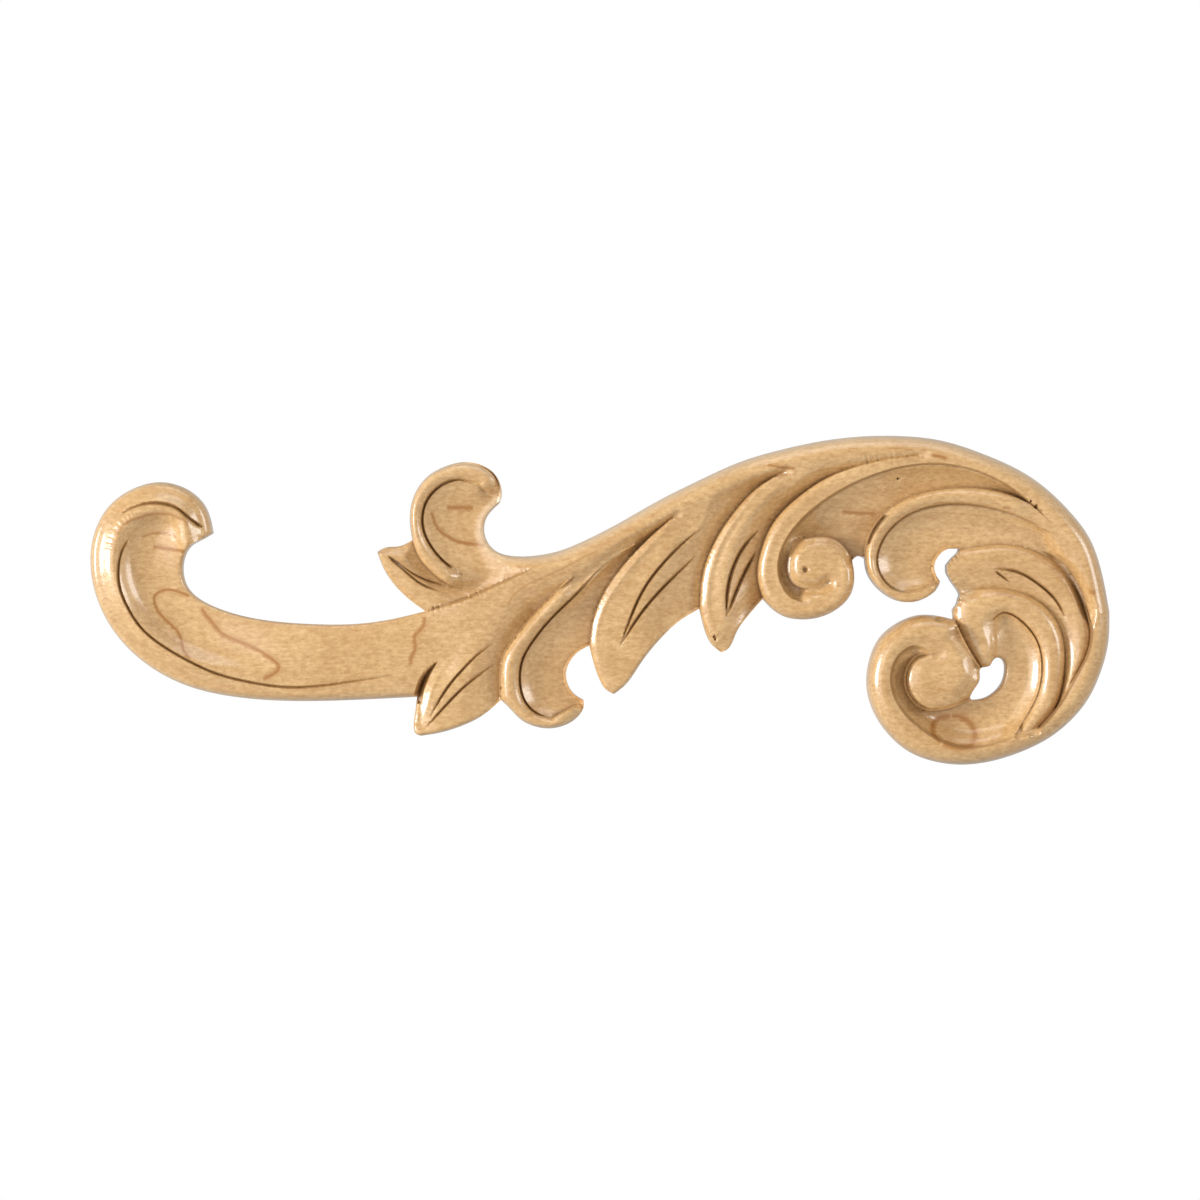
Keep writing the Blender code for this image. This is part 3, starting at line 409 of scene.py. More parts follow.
# %% The layers, lowest first
RIM_SECTION = [(0, -0.6), (0.16, 0.6), (0.42, 1.3), (0.72, 1.0), (1, 0.1)]
LEAF_SECTION = [(0, -0.4), (0.07, 0.35), (0.2, 0.6), (0.38, 0.95), (0.62, -0.5), (1, -3.0)]
HOLLOW_SECTION = [(0, -0.5), (0.2, -1.95), (0.45, -2.9), (0.8, -3.3), (1, -3.4)]
LAYERS = [
    # Small leaf
    {"loop": ["small_leaf_top", "small_leaf_under", "spine_step_low", (470, 560), (430, 520)],
     "near": ["small_leaf_under"], "far": ["small_leaf_top", "top_scroll_lower_edge"], "ground": 7.6,
     "section": [(0, -0.6), (0.15, 0.1), (0.45, 0.6), (0.6, 0.4), (0.85, -0.6), (1, -1.0)]},
    # Top scroll
    {"loop": ["-spine_step_high", "-top_scroll_lower_edge", "-top_scroll_back", (512, 503), (512, 540),
              (530, 543)],
     "near": ["top_scroll_groove"], "far": ["spine_step_high", "back_curve"], "ground": 9.6,
     "section": [(0, -0.2), (0.2, -1.2), (0.5, -2.3), (0.8, -2.5), (1, -1.9)],
     "open": [(590, 530), (590, 545), (545.4, 562)], "blend": 75},
    # Its bead
    {"loop": ["-top_scroll_lower_edge", "-top_scroll_back", "top_scroll_groove"],
     "near": ["-top_scroll_lower_edge", "-top_scroll_back"], "far": ["top_scroll_groove"], "ground": 9.6,
     "section": RIM_SECTION, "ends": (0.07, 0.12)},
    # First leaf
    {"loop": ["first_leaf_arris", (405, 725), (410, 742), "first_leaf_under", "-lower_scroll_edge"],
     "near": ["first_leaf_arris"], "far": ["lower_scroll_edge"], "ground": 9.2,
     "section": [(0, -0.2), (0.05, 0.3), (0.3, 0.9), (0.55, 0.2), (0.8, -1.2), (1, -2.4)],
     "open": [(580.6, 569.5), (520, 588), (470, 630), (438, 662)], "blend": 34},
    # Lower scroll
    {"loop": ["lower_scroll_edge", "lower_scroll_under", "lower_scroll_mouth", "-second_leaf_tuck"],
     "near": ["lower_scroll_groove"], "far": ["second_leaf_edge", "lower_scroll_mouth"],
     "section": HOLLOW_SECTION,
     "open": [(680, 507), (650, 524), (620, 540), (580.6, 569.5)], "blend": 14},
    # Its bead
    {"loop": ["lower_scroll_edge", "lower_scroll_under", "-lower_scroll_groove"],
     "near": ["lower_scroll_edge", "lower_scroll_under"], "far": ["lower_scroll_groove"],
     "section": [(share, rise + 0.4) for share, rise in RIM_SECTION], "ends": (0.15, 0.05)},
    # Second leaf
    {"loop": ["second_leaf_edge", "second_leaf_side", "second_leaf_under", "-third_leaf_tuck"],
     "near": ["second_leaf_edge", "second_leaf_side"], "far": ["third_leaf_edge"],
     "section": LEAF_SECTION, "grows": 0.15,
     "open": [(790, 464), (760, 472), (720, 489), (678, 512.7)], "blend": 12},
    # Third leaf
    {"loop": ["third_leaf_edge", "third_leaf_side", "third_leaf_under", "-coil_tuck"],
     "near": ["third_leaf_edge", "third_leaf_side"], "far": ["coil_edge"],
     "section": LEAF_SECTION, "grows": 0.15, "shoulders": [("third_leaf_under", 20, 1.2)],
     "open": [(926, 448), (862, 457), (820, 461), (788.3, 469.2)], "blend": 20},
    # Coil
    {"loop": ["coil_edge", "coil_under", (872, 540)],
     "near": ["coil_edge", "coil_under"], "grows": 0.5,
     "section": [(0, -0.4), (3, 0.7), (8, 1.5), (14, 1.4), (20, 1.5), (40, 2.0), (80, 2.0)],
     "open": [(905, 490), (950, 470), (926, 455)], "blend": 8,
     "shoulders": [("coil_eye_top", 10, 1.8), ("coil_eye_side", 10, 1.8)]},
    # Its hollow
    {"loop": ["coil_groove", "coil_eye_side", "coil_eye_top", (858, 575), "-upper_scroll_edge"],
     "near": ["coil_groove"], "far": ["coil_eye_side", "coil_eye_top", "coil_notch", "-upper_scroll_edge"],
     "section": [(0, -0.3), (0.2, -1.5), (0.5, -2.8), (0.8, -3.5), (1, -3.7)], "ends": (0.05, 0.05),
     "shoulders": [("coil_eye_side", 12, -1.5)]},
    # Upper scroll
    {"loop": ["upper_scroll_groove", "upper_scroll_mouth", (975, 560), (1040, 580)],
     "near": ["upper_scroll_groove"], "far": ["upper_scroll_mouth", "inner_leaf_edge"],
     "section": HOLLOW_SECTION,
     "open": [(1062, 640), (1082, 648), (1088, 600), (1078, 572), (1056, 537)], "blend": 15},
    # Its bead
    {"loop": ["upper_scroll_edge", "upper_scroll_under", "-upper_scroll_groove"],
     "near": ["upper_scroll_edge", "upper_scroll_under"], "far": ["upper_scroll_groove"],
     "section": [(share, rise + 0.3) for share, rise in RIM_SECTION], "ends": (0.1, 0.05)},
    # Inner leaf
    {"loop": ["inner_leaf_edge", "rim_foot", (1013.8, 737), (990, 700), (979.8, 668.5), "-leaf_end_side",
              (935, 620), (935, 560), (952, 548)],
     "near": ["inner_leaf_edge", "rim_foot"], "far": ["band_edge"], "ground": 9.4,
     "section": [(0, -1.3), (0.1, -0.3), (0.35, 0.3), (0.7, -0.5), (1, -1.9)]},
    # Outer band and leaf end
    {"loop": ["band_edge", (1013.8, 737), "-basin_edge", "leaf_end_flute", (989.5, 667), "-leaf_end_side",
              (940, 620)],
     "near": ["-band_edge", (957, 591), (953, 609.5), "leaf_end_side"],
     "far": ["basin_edge", "leaf_end_flute"], "ground": 9.4,
     "section": [(0, -1.2), (0.15, 0.1), (0.45, 1.0), (0.8, 0.7), (1, -0.4)],
     "open": [(940, 590), (970, 590)], "blend": 13, "shoulders": [("leaf_end_tip", 15, 1.2)]},
    # Basin of the volute
    {"loop": ["basin_edge", "volute_groove", "volute_eye_side", (990, 690), (989.5, 665.8),
              "-leaf_end_flute"],
     "near": ["-leaf_end_flute", "basin_edge", "volute_groove"], "ground": 6.9,
     "section": [(0, 1.5), (2, 0.7), (6, 0.2), (12, 0), (90, 0)],
     "shoulders": [("basin_edge", 14, -1.2), ("volute_groove", 20, -2.8), ("leaf_end_flute", 16, -0.6),
                   ("volute_eye_side", 10, -0.7)]},
    # Eye of the volute
    {"loop": ["volute_eye_side", (990, 690), (990, 669), "-leaf_end_side"],
     "near": ["volute_eye_side"], "ground": 11.3,
     "section": [(0, -1.6), (3, -0.6), (8, 0.2), (25, 0.8), (80, 0.8)],
     "open": [(953.3, 619.5), (942, 630), (933, 653.7)], "blend": 12,
     "shoulders": [("window_side", 20, 1.5), ("leaf_end_side", 16, 1.0)]},
]
print("layers:", len(LAYERS))

# %% [markdown]
# ## V cuts
#
# The veins and the grooves that part a rim from its hollow are single passes of a V tool. A pass starts
# shallow, deepens and lifts out again, so a cut has a width, a depth and the shares of its length over which
# the tool enters and leaves.

# %% The cuts
# The line, half the cut's width in squares, its depth in mm, and the two shares
CUTS = [
    ("hook_groove", 1.8, 1.2, 0.06, 0.5), ("hook_lip", 2.4, 1.5, 0.6, 0.06),
    ("top_scroll_groove", 1.9, 1.3, 0.3, 0.1),
    ("small_leaf_vein_a", 1.7, 0.9, 0.1, 0.3), ("small_leaf_vein_b", 1.7, 0.9, 0.1, 0.3),
    ("spine_step_low", 1.8, 0.8, 0.1, 0.0), ("spine_step_high", 1.8, 0.8, 0.0, 0.5),
    ("stem_cut", 4.8, 4.6, 0.6, 0.0),
    ("first_leaf_vein_a", 1.9, 1.2, 0.3, 0.5), ("first_leaf_vein_b", 1.9, 1.2, 0.3, 0.5),
    ("lower_scroll_groove", 1.8, 1.2, 0.3, 0.12),
    ("second_leaf_vein_a", 2.0, 1.4, 0.3, 0.4), ("second_leaf_vein_b", 2.0, 1.4, 0.3, 0.4),
    ("third_leaf_vein_a", 2.5, 1.8, 0.3, 0.3), ("third_leaf_vein_b", 2.5, 1.8, 0.3, 0.3),
    ("coil_groove", 1.7, 0.9, 0.15, 0.12), ("upper_scroll_groove", 1.7, 1.0, 0.25, 0.12),
    ("rim_cut", 9.0, 2.8, 0.6, 0.25),
    ("inner_leaf_vein_a", 2.0, 1.2, 0.3, 0.3), ("inner_leaf_vein_b", 1.7, 0.8, 0.2, 0.5),
    ("volute_groove", 1.8, 1.2, 0.2, 0.2), ("basin_edge", 1.4, 0.6, 0.3, 0.2),
]
# The walls, which need points of the mesh beside them as the cuts do
STEPS = ["top_scroll_lower_edge", "spine_step_low", "spine_step_high", "first_leaf_arris",
         "lower_scroll_edge", "second_leaf_edge", "third_leaf_edge", "coil_edge", "coil_eye_side",
         "coil_eye_top", "coil_groove", "upper_scroll_edge", "inner_leaf_edge", "rim_foot", "band_edge",
         "basin_edge", "volute_groove", "volute_eye_side", "leaf_end_side"]
print("cuts:", len(CUTS), "and walls:", len(STEPS))

# %% [markdown]
# ## Painting the relief
#
# The relief is a function of two parameters, the place across and the place up, that gives the height over
# the flat back. It also gives how dark the wood is in a cut and at the foot of a wall: dust and finish gather
# there, and the shade that falls there is painted in as well, so both are darker than the open wood. Every
# layer is painted by the same rule.

# %% Painting one layer
WALL = 1.5
# How far dirt and painted shade reach past the foot of a wall, in squares
DIRT_AND_SHADE_REACH = 2.6


def paint(height, dirt_and_shade, points, blank, layer):
    """New height = old height + share let in x (ground + section - old height). The share rises from 0 at
    the border to 1 a wall's width inside it, or more slowly where the border is open or the layer's line
    begins. Dirt and painted shade lie at the foot of the wall, which is outside a raised layer and inside a
    sunk one."""
    border = joined(*layer["loop"])
    loop = joined(*layer["loop"], *layer.get("open", ()), closed=True)
    margin = DIRT_AND_SHADE_REACH + 1
    chosen = np.flatnonzero(((points > loop.min(0) - margin) & (points < loop.max(0) + margin)).all(1))
    spots = points[chosen]
    inside = within(spots, loop)
    distance, along = nearest(spots, joined(*layer["near"]))
    if "far" in layer:
        distance = distance / np.maximum(distance + nearest(spots, joined(*layer["far"]))[0], 1e-6)
    rise = section(layer["section"], distance)
    if "grows" in layer:
        rise = np.minimum(rise, rise * smooth(along / layer["grows"]))
    step = layer.get("ground", blank[chosen]) + rise - height[chosen]
    for name, reach, drop in layer.get("shoulders", ()):
        step -= drop * (1 - smooth(nearest(spots, LINES[name])[0] / reach))
    let_in = inside * np.clip(nearest(spots, loop)[0] / WALL, 0, 1)
    fade = np.ones(len(spots))
    if "open" in layer:
        fade = smooth(nearest(spots, joined(*layer["open"]))[0] / layer["blend"])
    first, last = layer.get("ends", (0, 0))
    if first:
        fade *= smooth(along / first)
    if last:
        fade *= smooth((1 - along) / last)
    height[chosen] += let_in * fade * step
    # Dirt and painted shade at the foot of the wall
    foot = 1 - nearest(spots, border)[0] / np.where((step > 0) == inside, WALL, DIRT_AND_SHADE_REACH)
    fresh = np.clip(foot, 0, 1) * np.clip(abs(step) * fade / 2, 0, 1)
    dirt_and_shade[chosen] = np.maximum(dirt_and_shade[chosen] * (1 - let_in * fade), fresh)


print("a wall's width in millimetres:", round(1000 * SQUARE * WALL, 2))

# %% [markdown]
# ## Marks of the tools and of use
#
# Where a gouge ran against the grain it tore small nicks into an edge, or chattered over a slope. Where two
# of its passes meet, it left a low arris. Hands have rubbed the ends of some walls and grooves smooth, and
# the wood has a few pin holes. A noise would put such marks everywhere, so each has its own line or spot.

# %% Nicks, arrises, worn spots and pin holes
TOOL_MARKS = {
    "hook_chatter": [(108, 556), (113, 536), (124, 520), (140, 511)],
    "crown_chatter": [(858, 462), (885, 458), (918, 455.5)],
    "leaf_chatter": [(640, 540), (668, 514), (690, 500)],
    "second_leaf_bevel": [(676, 522), (648, 548), (623.4, 576), (602.7, 610), (596, 638), (598.3, 658.7),
                          (608.6, 683.7)],
    "third_leaf_bevel": [(770, 488), (740, 515), (722, 542), (709, 582), (708.4, 610), (716.2, 639.5)],
    "first_leaf_bevel": [(452, 656), (438, 676), (430, 697), (424, 722)],
    "stem_bevel": [(235, 672), (290, 693.5), (345, 692), (400, 690)],
}
LINES |= {name: drawn(points) for name, points in TOOL_MARKS.items()}
# Nicks: the line, their reach to its sides in squares and their depth in mm
RAGGED = [("lower_scroll_edge", 2, 0.28), ("second_leaf_edge", 2, 0.3), ("third_leaf_edge", 2, 0.3),
          ("coil_edge", 2, 0.22), ("spine_step_high", 3, 0.4), ("spine_step_low", 3, 0.4),
          ("upper_scroll_edge", 2, 0.15), ("inner_leaf_edge", 2, 0.15), ("broken_edge", 3.5, 0.5),
          ("leaf_end_side", 3, 0.4), ("hook_chatter", 5, 0.18), ("crown_chatter", 5, 0.22),
          ("leaf_chatter", 6, 0.12)]
# Arrises: the line, half the ridge's width in squares and its height in mm
ARRISES = [("second_leaf_bevel", 3.5, 0.32), ("third_leaf_bevel", 3.5, 0.32),
           ("first_leaf_bevel", 3.0, 0.25), ("stem_bevel", 2.5, 0.25)]
# Worn spots and pin holes: the middle and the radius, in squares
WORN = [(789, 471, 8), (678, 514, 7), (924, 455, 7), (468.5, 574.8, 12), (452, 575, 10), (536.5, 566.4, 7),
        (577, 575, 6), (988, 629, 11), (967, 663, 8), (1020, 735.5, 8), (1034.6, 733, 8), (796, 546, 11),
        (928, 717, 8), (193, 536, 11)]
PIN_HOLES = [(804.5, 570, 2.6), (714, 636.5, 1.2), (715.3, 639, 1.2), (897.8, 478.8, 1.0),
             (1029.5, 501.5, 1.0), (1034.6, 507.3, 1.6)]
PIN_HOLE_DEPTH = 1.2


def ragged(points):
    """Depth of the small nicks along a ragged edge: uneven waves along the line, let in beside it."""
    depth = np.zeros(len(points))
    for name, reach, deepest in RAGGED:
        distance, along = nearest(points, LINES[name])
        run = along * LINE_STEP * len(LINES[name])
        wave = np.sin(run * 1.45 + 2 * np.sin(run * 0.23)) * (0.6 + 0.4 * np.sin(run * 0.11 + 1))
        wave += 0.4 * np.sin(run * 0.57 + 3 * np.sin(run * 0.19))
        ends = smooth(10 * along) * smooth(10 * (1 - along))
        depth += deepest * ends * np.clip(wave, -0.3, 1) * np.clip(1.3 - distance / reach, 0, 1)
    return depth


print("nicked lines:", len(RAGGED), "arrises:", len(ARRISES), "worn:", len(WORN), "holes:", len(PIN_HOLES))

# %% [markdown]
# ## The whole relief
#
# The swell, the layers, the cuts and the marks are put together in the order in which a carver works. The
# sawn edges get a small quarter round, as sandpaper leaves it, and the broken edge gets none.

# %% The relief as a function of the place
THICKNESS = 13.0
LEAST_EDGE = 2.5
EDGE_REACH = 4.0
EDGE_DROP = 1.1
WORN_TAPS = 12
BROKEN_AT = OUTLINE_ORDER.index("broken_edge")
SAWN = joined(*OUTLINE_ORDER[BROKEN_AT + 1 :], *OUTLINE_ORDER[:BROKEN_AT])


def carved(points):
    """Height in millimetres, and dirt with painted shade from 0 to 1: the swell, each layer over it, the V
    cuts and nicks taken away, and a quarter round along the sawn edges, but not where the edge broke."""
    blank = swell(points)
    height, dirt_and_shade = blank.copy(), np.zeros(len(points))
    for layer in LAYERS:
        paint(height, dirt_and_shade, points, blank, layer)
    for name, half_width, depth, enters, leaves in CUTS:
        distance, along = nearest(points, LINES[name])
        grip = np.sqrt(smooth(along / max(enters, 1e-3)) * smooth((1 - along) / max(leaves, 1e-3)))
        height -= depth * grip * np.clip(1 - distance / np.maximum(half_width * grip, 1e-6), 0, 1)
        # A cut is darkened: dust lies in it, and its shade is painted in
        dirt_and_shade = np.maximum(dirt_and_shade, grip * np.clip(1.1 - distance / min(half_width, 1.5), 0, 1))
    for name, half_width, rise in ARRISES:
        distance, along = nearest(points, LINES[name])
        ridge = rise * np.clip(1 - distance / half_width, 0, 1)
        height += ridge * smooth(3 * along) * smooth(3 * (1 - along))
    nicks = ragged(points)
    height -= nicks
    # Nicks are darkened too
    dirt_and_shade = np.maximum(dirt_and_shade, np.clip(2 * nicks - 0.2, 0, 0.6))
    edge = np.minimum(nearest(points, SAWN)[0], nearest(points, WINDOW_RIM)[0]) / EDGE_REACH
    dirt_and_shade *= smooth(edge)
    height -= EDGE_DROP * (1 - np.sqrt(1 - np.clip(1 - edge, 0, 1) ** 2))
    return np.clip(height, LEAST_EDGE, THICKNESS), dirt_and_shade


def relief(points):
    """The carving with its worn spots: there, height = mean of the heights on two small rings of points, of
    which the wider has half the spot's radius in its middle and none at its border. Pin holes are dark."""
    height, dirt_and_shade = carved(points)
    turns = np.linspace(0, 2 * np.pi, WORN_TAPS, endpoint=False)
    ring = np.column_stack([np.cos(turns), np.sin(turns)])
    rings = np.concatenate([ring, ring / 2])
    for *middle, radius in WORN:
        away = np.linalg.norm(points - placed(middle), axis=1) / radius
        spot = np.flatnonzero(away < 1)
        reach = 0.5 * radius * smooth(1.6 * (1 - away[spot]))
        taps = points[spot, None] + rings[None] * reach[:, None, None]
        spread = np.reshape(carved(taps.reshape(-1, 2)), (2, len(spot), len(rings))).mean(2)
        height[spot], dirt_and_shade[spot] = spread[0], spread[1] * 0.9
    for *middle, radius in PIN_HOLES:
        away = np.linalg.norm(points - placed(middle), axis=1) / radius
        dirt_and_shade = np.maximum(dirt_and_shade, np.clip(2 - 1.6 * away, 0, 1))
        height -= PIN_HOLE_DEPTH * np.clip(1.5 - away, 0, 1)
    return height, dirt_and_shade


print("height of the carving in the middle, in mm:", round(float(carved(np.zeros((1, 2)))[0][0]), 2))

# %% [markdown]
# ## Where the mesh needs its points
#
# A plain grid would saw across the cuts and leave them ragged. So rows of points run along every cut and
# wall, and on both sides of it, rings follow the sawn edges, and an even grid fills the rest. A Delaunay
# triangulation joins them all and keeps the rows as edges.

# %% Rings and rows
ROW_STEP = 1.7
EDGE_GAP = 0.7
INSETS = (1.2, 2.6, 4.2)


def inside_wood(points):
    """Which points lie inside the outline and outside the window."""
    return within(points, RIM) & ~within(points, WINDOW_RIM)


def to_edge(points):
    """Distance to the sawn outline or to the window's rim, whichever is nearer."""
    return np.minimum(nearest(points, RIM)[0], nearest(points, WINDOW_RIM)[0])


def kept_runs(row, lowest):
    """The stretches of a row that lie in the wood, further from its edges than the lowest distance."""
    held = inside_wood(row) & (to_edge(row) > lowest)
    runs = np.split(np.arange(len(row)), np.flatnonzero(np.diff(held.astype(int))) + 1)
    return [row[run] for run in runs if held[run[0]] and len(run) > 1]


def mesh_rows():
    """Rings of the sawn edges first, then every open row that the mesh keeps."""
    rings = [np.vstack([respaced(LINES[name], ROW_STEP)[:-1] for name in OUTLINE_ORDER]),
             respaced(WINDOW_RIM, ROW_STEP)[:-1]]
    rows = []
    for inset in INSETS:
        for ring, side in ((rings[0], -inset), (rings[1], -inset), (rings[0], inset), (rings[1], inset)):
            rows += kept_runs(moved(ring, side), 0.93 * inset)
    beside = [(name, WALL) for name in STEPS] + [(name, half_width) for name, half_width, *_ in CUTS]
    for name, away in beside:
        for by in (0, away, -away):
            rows += kept_runs(respaced(moved(LINES[name], by), ROW_STEP), EDGE_GAP)
    return rings, rows


rings, rows = mesh_rows()
print("rows:", len(rows), "row points:", sum(map(len, rows)))

# %% A grid between the rows
FINE_STEP = 1.55


def grid_points(taken, step):
    """An even grid of staggered rows, without the points that a row's point already stands near."""
    low, high = RIM.min(0), RIM.max(0)
    x, y = np.meshgrid(np.arange(low[0], high[0], step), np.arange(low[1], high[1], 0.87 * step))
    x[1::2] += step / 2
    grid = np.stack([x.ravel(), y.ravel()], 1)
    cells = np.zeros(((high - low) / step + 4).astype(int), bool)
    column, line = ((taken - low) / step + 1.5).astype(int).T
    cells[column, line] = True
    column, line = ((grid - low) / step + 1.5).astype(int).T
    grid = grid[~cells[column, line]]
    return grid[inside_wood(grid) & (to_edge(grid) > 0.6 * step)]


grid = grid_points(np.vstack(rings + rows), FINE_STEP)
print("grid points:", len(grid))

# %% [markdown]
# ## Triangles
#
# The triangulation fills the drawing's plane. Those triangles whose middle lies outside the wood or in the
# window are left out, and the rest are turned to face the viewer.

# %% Fill the outline
MERGE = 0.05


def triangles_over(points, edges):
    """Points and triangles that fill the outline without the window and keep the edges given."""
    spots, _, faces, *_ = delaunay_2d_cdt(points.tolist(), edges, [], 0, MERGE)
    spots, faces = np.array(spots), np.array(faces)
    faces = faces[inside_wood(spots[faces].mean(1))]
    (ax, ay), (bx, by), (cx, cy) = spots[faces].transpose(1, 2, 0)
    clockwise = (bx - ax) * (cy - ay) < (by - ay) * (cx - ax)
    faces[clockwise] = faces[clockwise][:, ::-1]
    return spots, faces


def numbered_edges(rings, rows):
    """Pairs of point numbers along each ring, which closes, and along each row, which doesn't."""
    edges, count = [], 0
    for index, row in enumerate(rings + rows):
        numbers = np.arange(count, count + len(row))
        ends = np.stack([numbers, np.roll(numbers, -1)], 1)
        edges += (ends if index < len(rings) else ends[:-1]).tolist()
        count += len(row)
    return edges


spots, faces = triangles_over(np.vstack([*rings, *rows, grid]), numbered_edges(rings, rows))
used = np.unique(faces)
spots, faces = spots[used], np.searchsorted(used, faces)
print("front points:", len(spots), "front triangles:", len(faces))

# %% [markdown]
# ## Sawn walls and flat back
#
# The front's open edges are the outline and the window. Each gets a wall straight back to the plane that
# the piece is glued on, and a flat sheet closes the back, so that the mesh is one solid body.

# %% Close the body
edges = np.concatenate([faces[:, [0, 1]], faces[:, [1, 2]], faces[:, [2, 0]]])
_, index, count = np.unique(np.sort(edges, axis=1), axis=0, return_inverse=True, return_counts=True)
edges = edges[count[index.reshape(-1)] == 1]
rim = np.unique(edges)
back = np.searchsorted(rim, edges)
_, back_faces = triangles_over(spots[rim], back.tolist())
first, second = edges.T
first_behind, second_behind = back.T + len(spots)
walls = np.vstack([np.stack([first, first_behind, second], 1),
                   np.stack([second, first_behind, second_behind], 1)])
print("wall triangles:", len(walls), "back triangles:", len(back_faces))

# %% [markdown]
# ## Figure in the wood
#
# The growth rings surface on the carving as a few thin brown loops, and the tool tore a few short dark
# streaks. A procedural ring pattern would put them anywhere. Drawn as lines they lie where this board has
# them. Each point of the mesh keeps its distance from the nearest line, with a sign for the side, so that the
# shader can draw a line finer than the mesh.

# %% Growth lines and torn streaks
# The line's width in squares, its strength and its points
FIGURE = [
    (1.3, 1.0, [(190, 596), (178, 591), (164, 589.5), (154, 597), (156, 608), (169.6, 624),
                (180.3, 637.3), (184, 650.7), (191, 659)]),
    (2.0, 1.0, [(200.5, 607.7), (204.5, 614.4), (212.6, 623.8), (220.7, 633.2), (234, 640), (253, 648),
                (269, 657.5), (278.6, 668), (270.5, 675), (262.4, 679)]),
    (1.8, 0.9, [(424, 616), (422.5, 626.5), (414, 637), (415, 648), (410.4, 658.8), (411, 665.5)]),
    (1.5, 1.0, [(152.5, 546.7), (164.2, 548.5), (185.5, 552)]),
    (2.3, 1.0, [(446, 508.6), (460, 508.2), (474, 508.6)]),
    (1.4, 1.0, [(431, 512), (433, 519), (437, 528), (446.8, 536.4), (457.5, 541.8), (473.7, 544.4),
                (486, 546)]),
    (1.1, 0.7, [(141, 537.7), (150, 534.5), (158.8, 533.2), (168, 534), (177.6, 537.7)]),
    (1.1, 0.7, [(118, 536), (124, 526), (138, 518.5), (158.8, 514.2), (175, 516.5), (190, 524)]),
    (2.6, 1.0, [(941, 742), (934.5, 735), (932.5, 727), (938, 719.5), (951, 717)]),
    (2.8, 1.0, [(951, 717), (964, 719.5), (972, 727), (974, 736), (969, 744), (956, 746.5), (941, 742)]),
    (1.6, 0.9, [(841, 512), (858, 513.5), (876, 514.5)]),
    (1.5, 1.0, [(930, 456), (938, 457.6), (946, 459.5)]),
    (1.4, 0.9, [(766, 466), (780, 468), (795, 469.2)]),
    (2.0, 0.9, [(1086, 592), (1090, 593), (1094, 594)]),
    (1.2, 0.7, [(1001, 508), (1010, 509.5)]),
    (1.3, 0.7, [(994, 595), (1004, 594.5), (1013, 597.5)]),
    (0.8, 0.5, [(889, 449), (902, 449.5), (914, 452)]),
    (0.9, 0.5, [(508, 606), (513, 597), (530, 584), (552, 574), (575, 562)]),
    (0.9, 0.5, [(560, 571), (585, 557), (600, 550.5)]),
    (1.1, 0.8, [(648.6, 545), (651, 545.4)]),
    (1.1, 0.7, [(679.5, 531.5), (682, 532)]),
]
FIGURE_REACH = 10.0


def figure_at(points):
    """Signed distance from the nearest figure line over its own width, its strength there, and the width.
    The sign is that of the cross product of the line's run and the way to the point."""
    best, side, strength = (np.full(len(points), value) for value in (np.inf, 0.0, 0.0))
    for width, power, line in FIGURE:
        line = drawn(line)
        distance, along = nearest(points, line)
        number = np.rint(along * (len(line) - 1)).astype(int)
        run, away = np.gradient(line, axis=0)[number], points - line[number]
        sign = np.sign(run[:, 0] * away[:, 1] - run[:, 1] * away[:, 0])
        ends = np.clip(np.minimum(along, 1 - along) * LINE_STEP * len(line) / 2, 0, 1)
        nearer = distance < best
        best[nearer] = distance[nearer]
        side[nearer] = (sign * distance / width)[nearer]
        strength[nearer] = (power * ends * np.clip(1 - distance / FIGURE_REACH, 0, 1))[nearer]
    return np.clip(side, -FIGURE_REACH, FIGURE_REACH), strength


side, strength = figure_at(spots)
print("figure lines:", len(FIGURE), "points they touch:", int((strength > 0).sum()))

# %% [markdown]
# ## Painted sheen on the upper edges
#
# The edges that face up are painted paler and less yellow, as a painted sheen of the light from above. The
# wood is the same there, so it is the same material, and a value that falls off with the distance from those
# edges tells the shader how pale it is.

# %% How pale each point is
# The lines, how far in it shows, and how much
SHEEN_EDGES = [(["back_curve", "top_scroll_back"], 10, 0.85), (["hook_back"], 5, 0.5)]


def painted_sheen(points):
    """How pale the painted sheen makes the wood beside an upper edge: strength x (1 - distance / reach), the
    larger of the two, and less towards the ends of the lines."""
    pale = np.zeros(len(points))
    for names, reach, most in SHEEN_EDGES:
        distance, along = nearest(points, joined(*names))
        most = most * smooth(5 * along) * smooth(5 * (1 - along))
        pale = np.maximum(pale, most * (1 - distance / reach))
    return pale


edge_sheen = painted_sheen(spots)
print("paled points:", int((edge_sheen > 0).sum()))

# %% [markdown]
# ## The mesh
#
# foreach_set and from_pydata put whole arrays into a mesh. The dirt with its painted shade and the figure go
# in as point attributes, and so does one value for raw wood and painted sheen: all of it on the sawn back,
# which was never sealed, and a part on the upper edges, where it paints their sheen. Smooth shading is right
# for the carving, and edges sharper than the angle given stay crisp.

# %% Build the applique
CRISP_ANGLE = 50
height, dirt_and_shade = relief(spots)
flat = np.vstack([spots, spots[rim]]) * SQUARE
depth = np.append(height / 1000, np.zeros(len(rim)))
vertices = np.stack([flat[:, 0], -depth, flat[:, 1]], 1)
triangles = np.vstack([faces, walls, back_faces[:, ::-1] + len(spots)])
mesh = bpy.data.meshes.new("carved_applique")
mesh.from_pydata(vertices.tolist(), [], triangles.tolist())
behind_them = np.zeros(len(rim))
for name, values in (("dirt_and_shade", np.append(dirt_and_shade, behind_them)), ("figure_side", np.append(side, behind_them)),
                     ("figure_strength", np.append(strength, behind_them)),
                     ("raw_and_sheen", np.append(edge_sheen, behind_them + 1))):
    attribute = mesh.attributes.new(name, "FLOAT", "POINT")
    attribute.data.foreach_set("value", values.astype(np.float32))
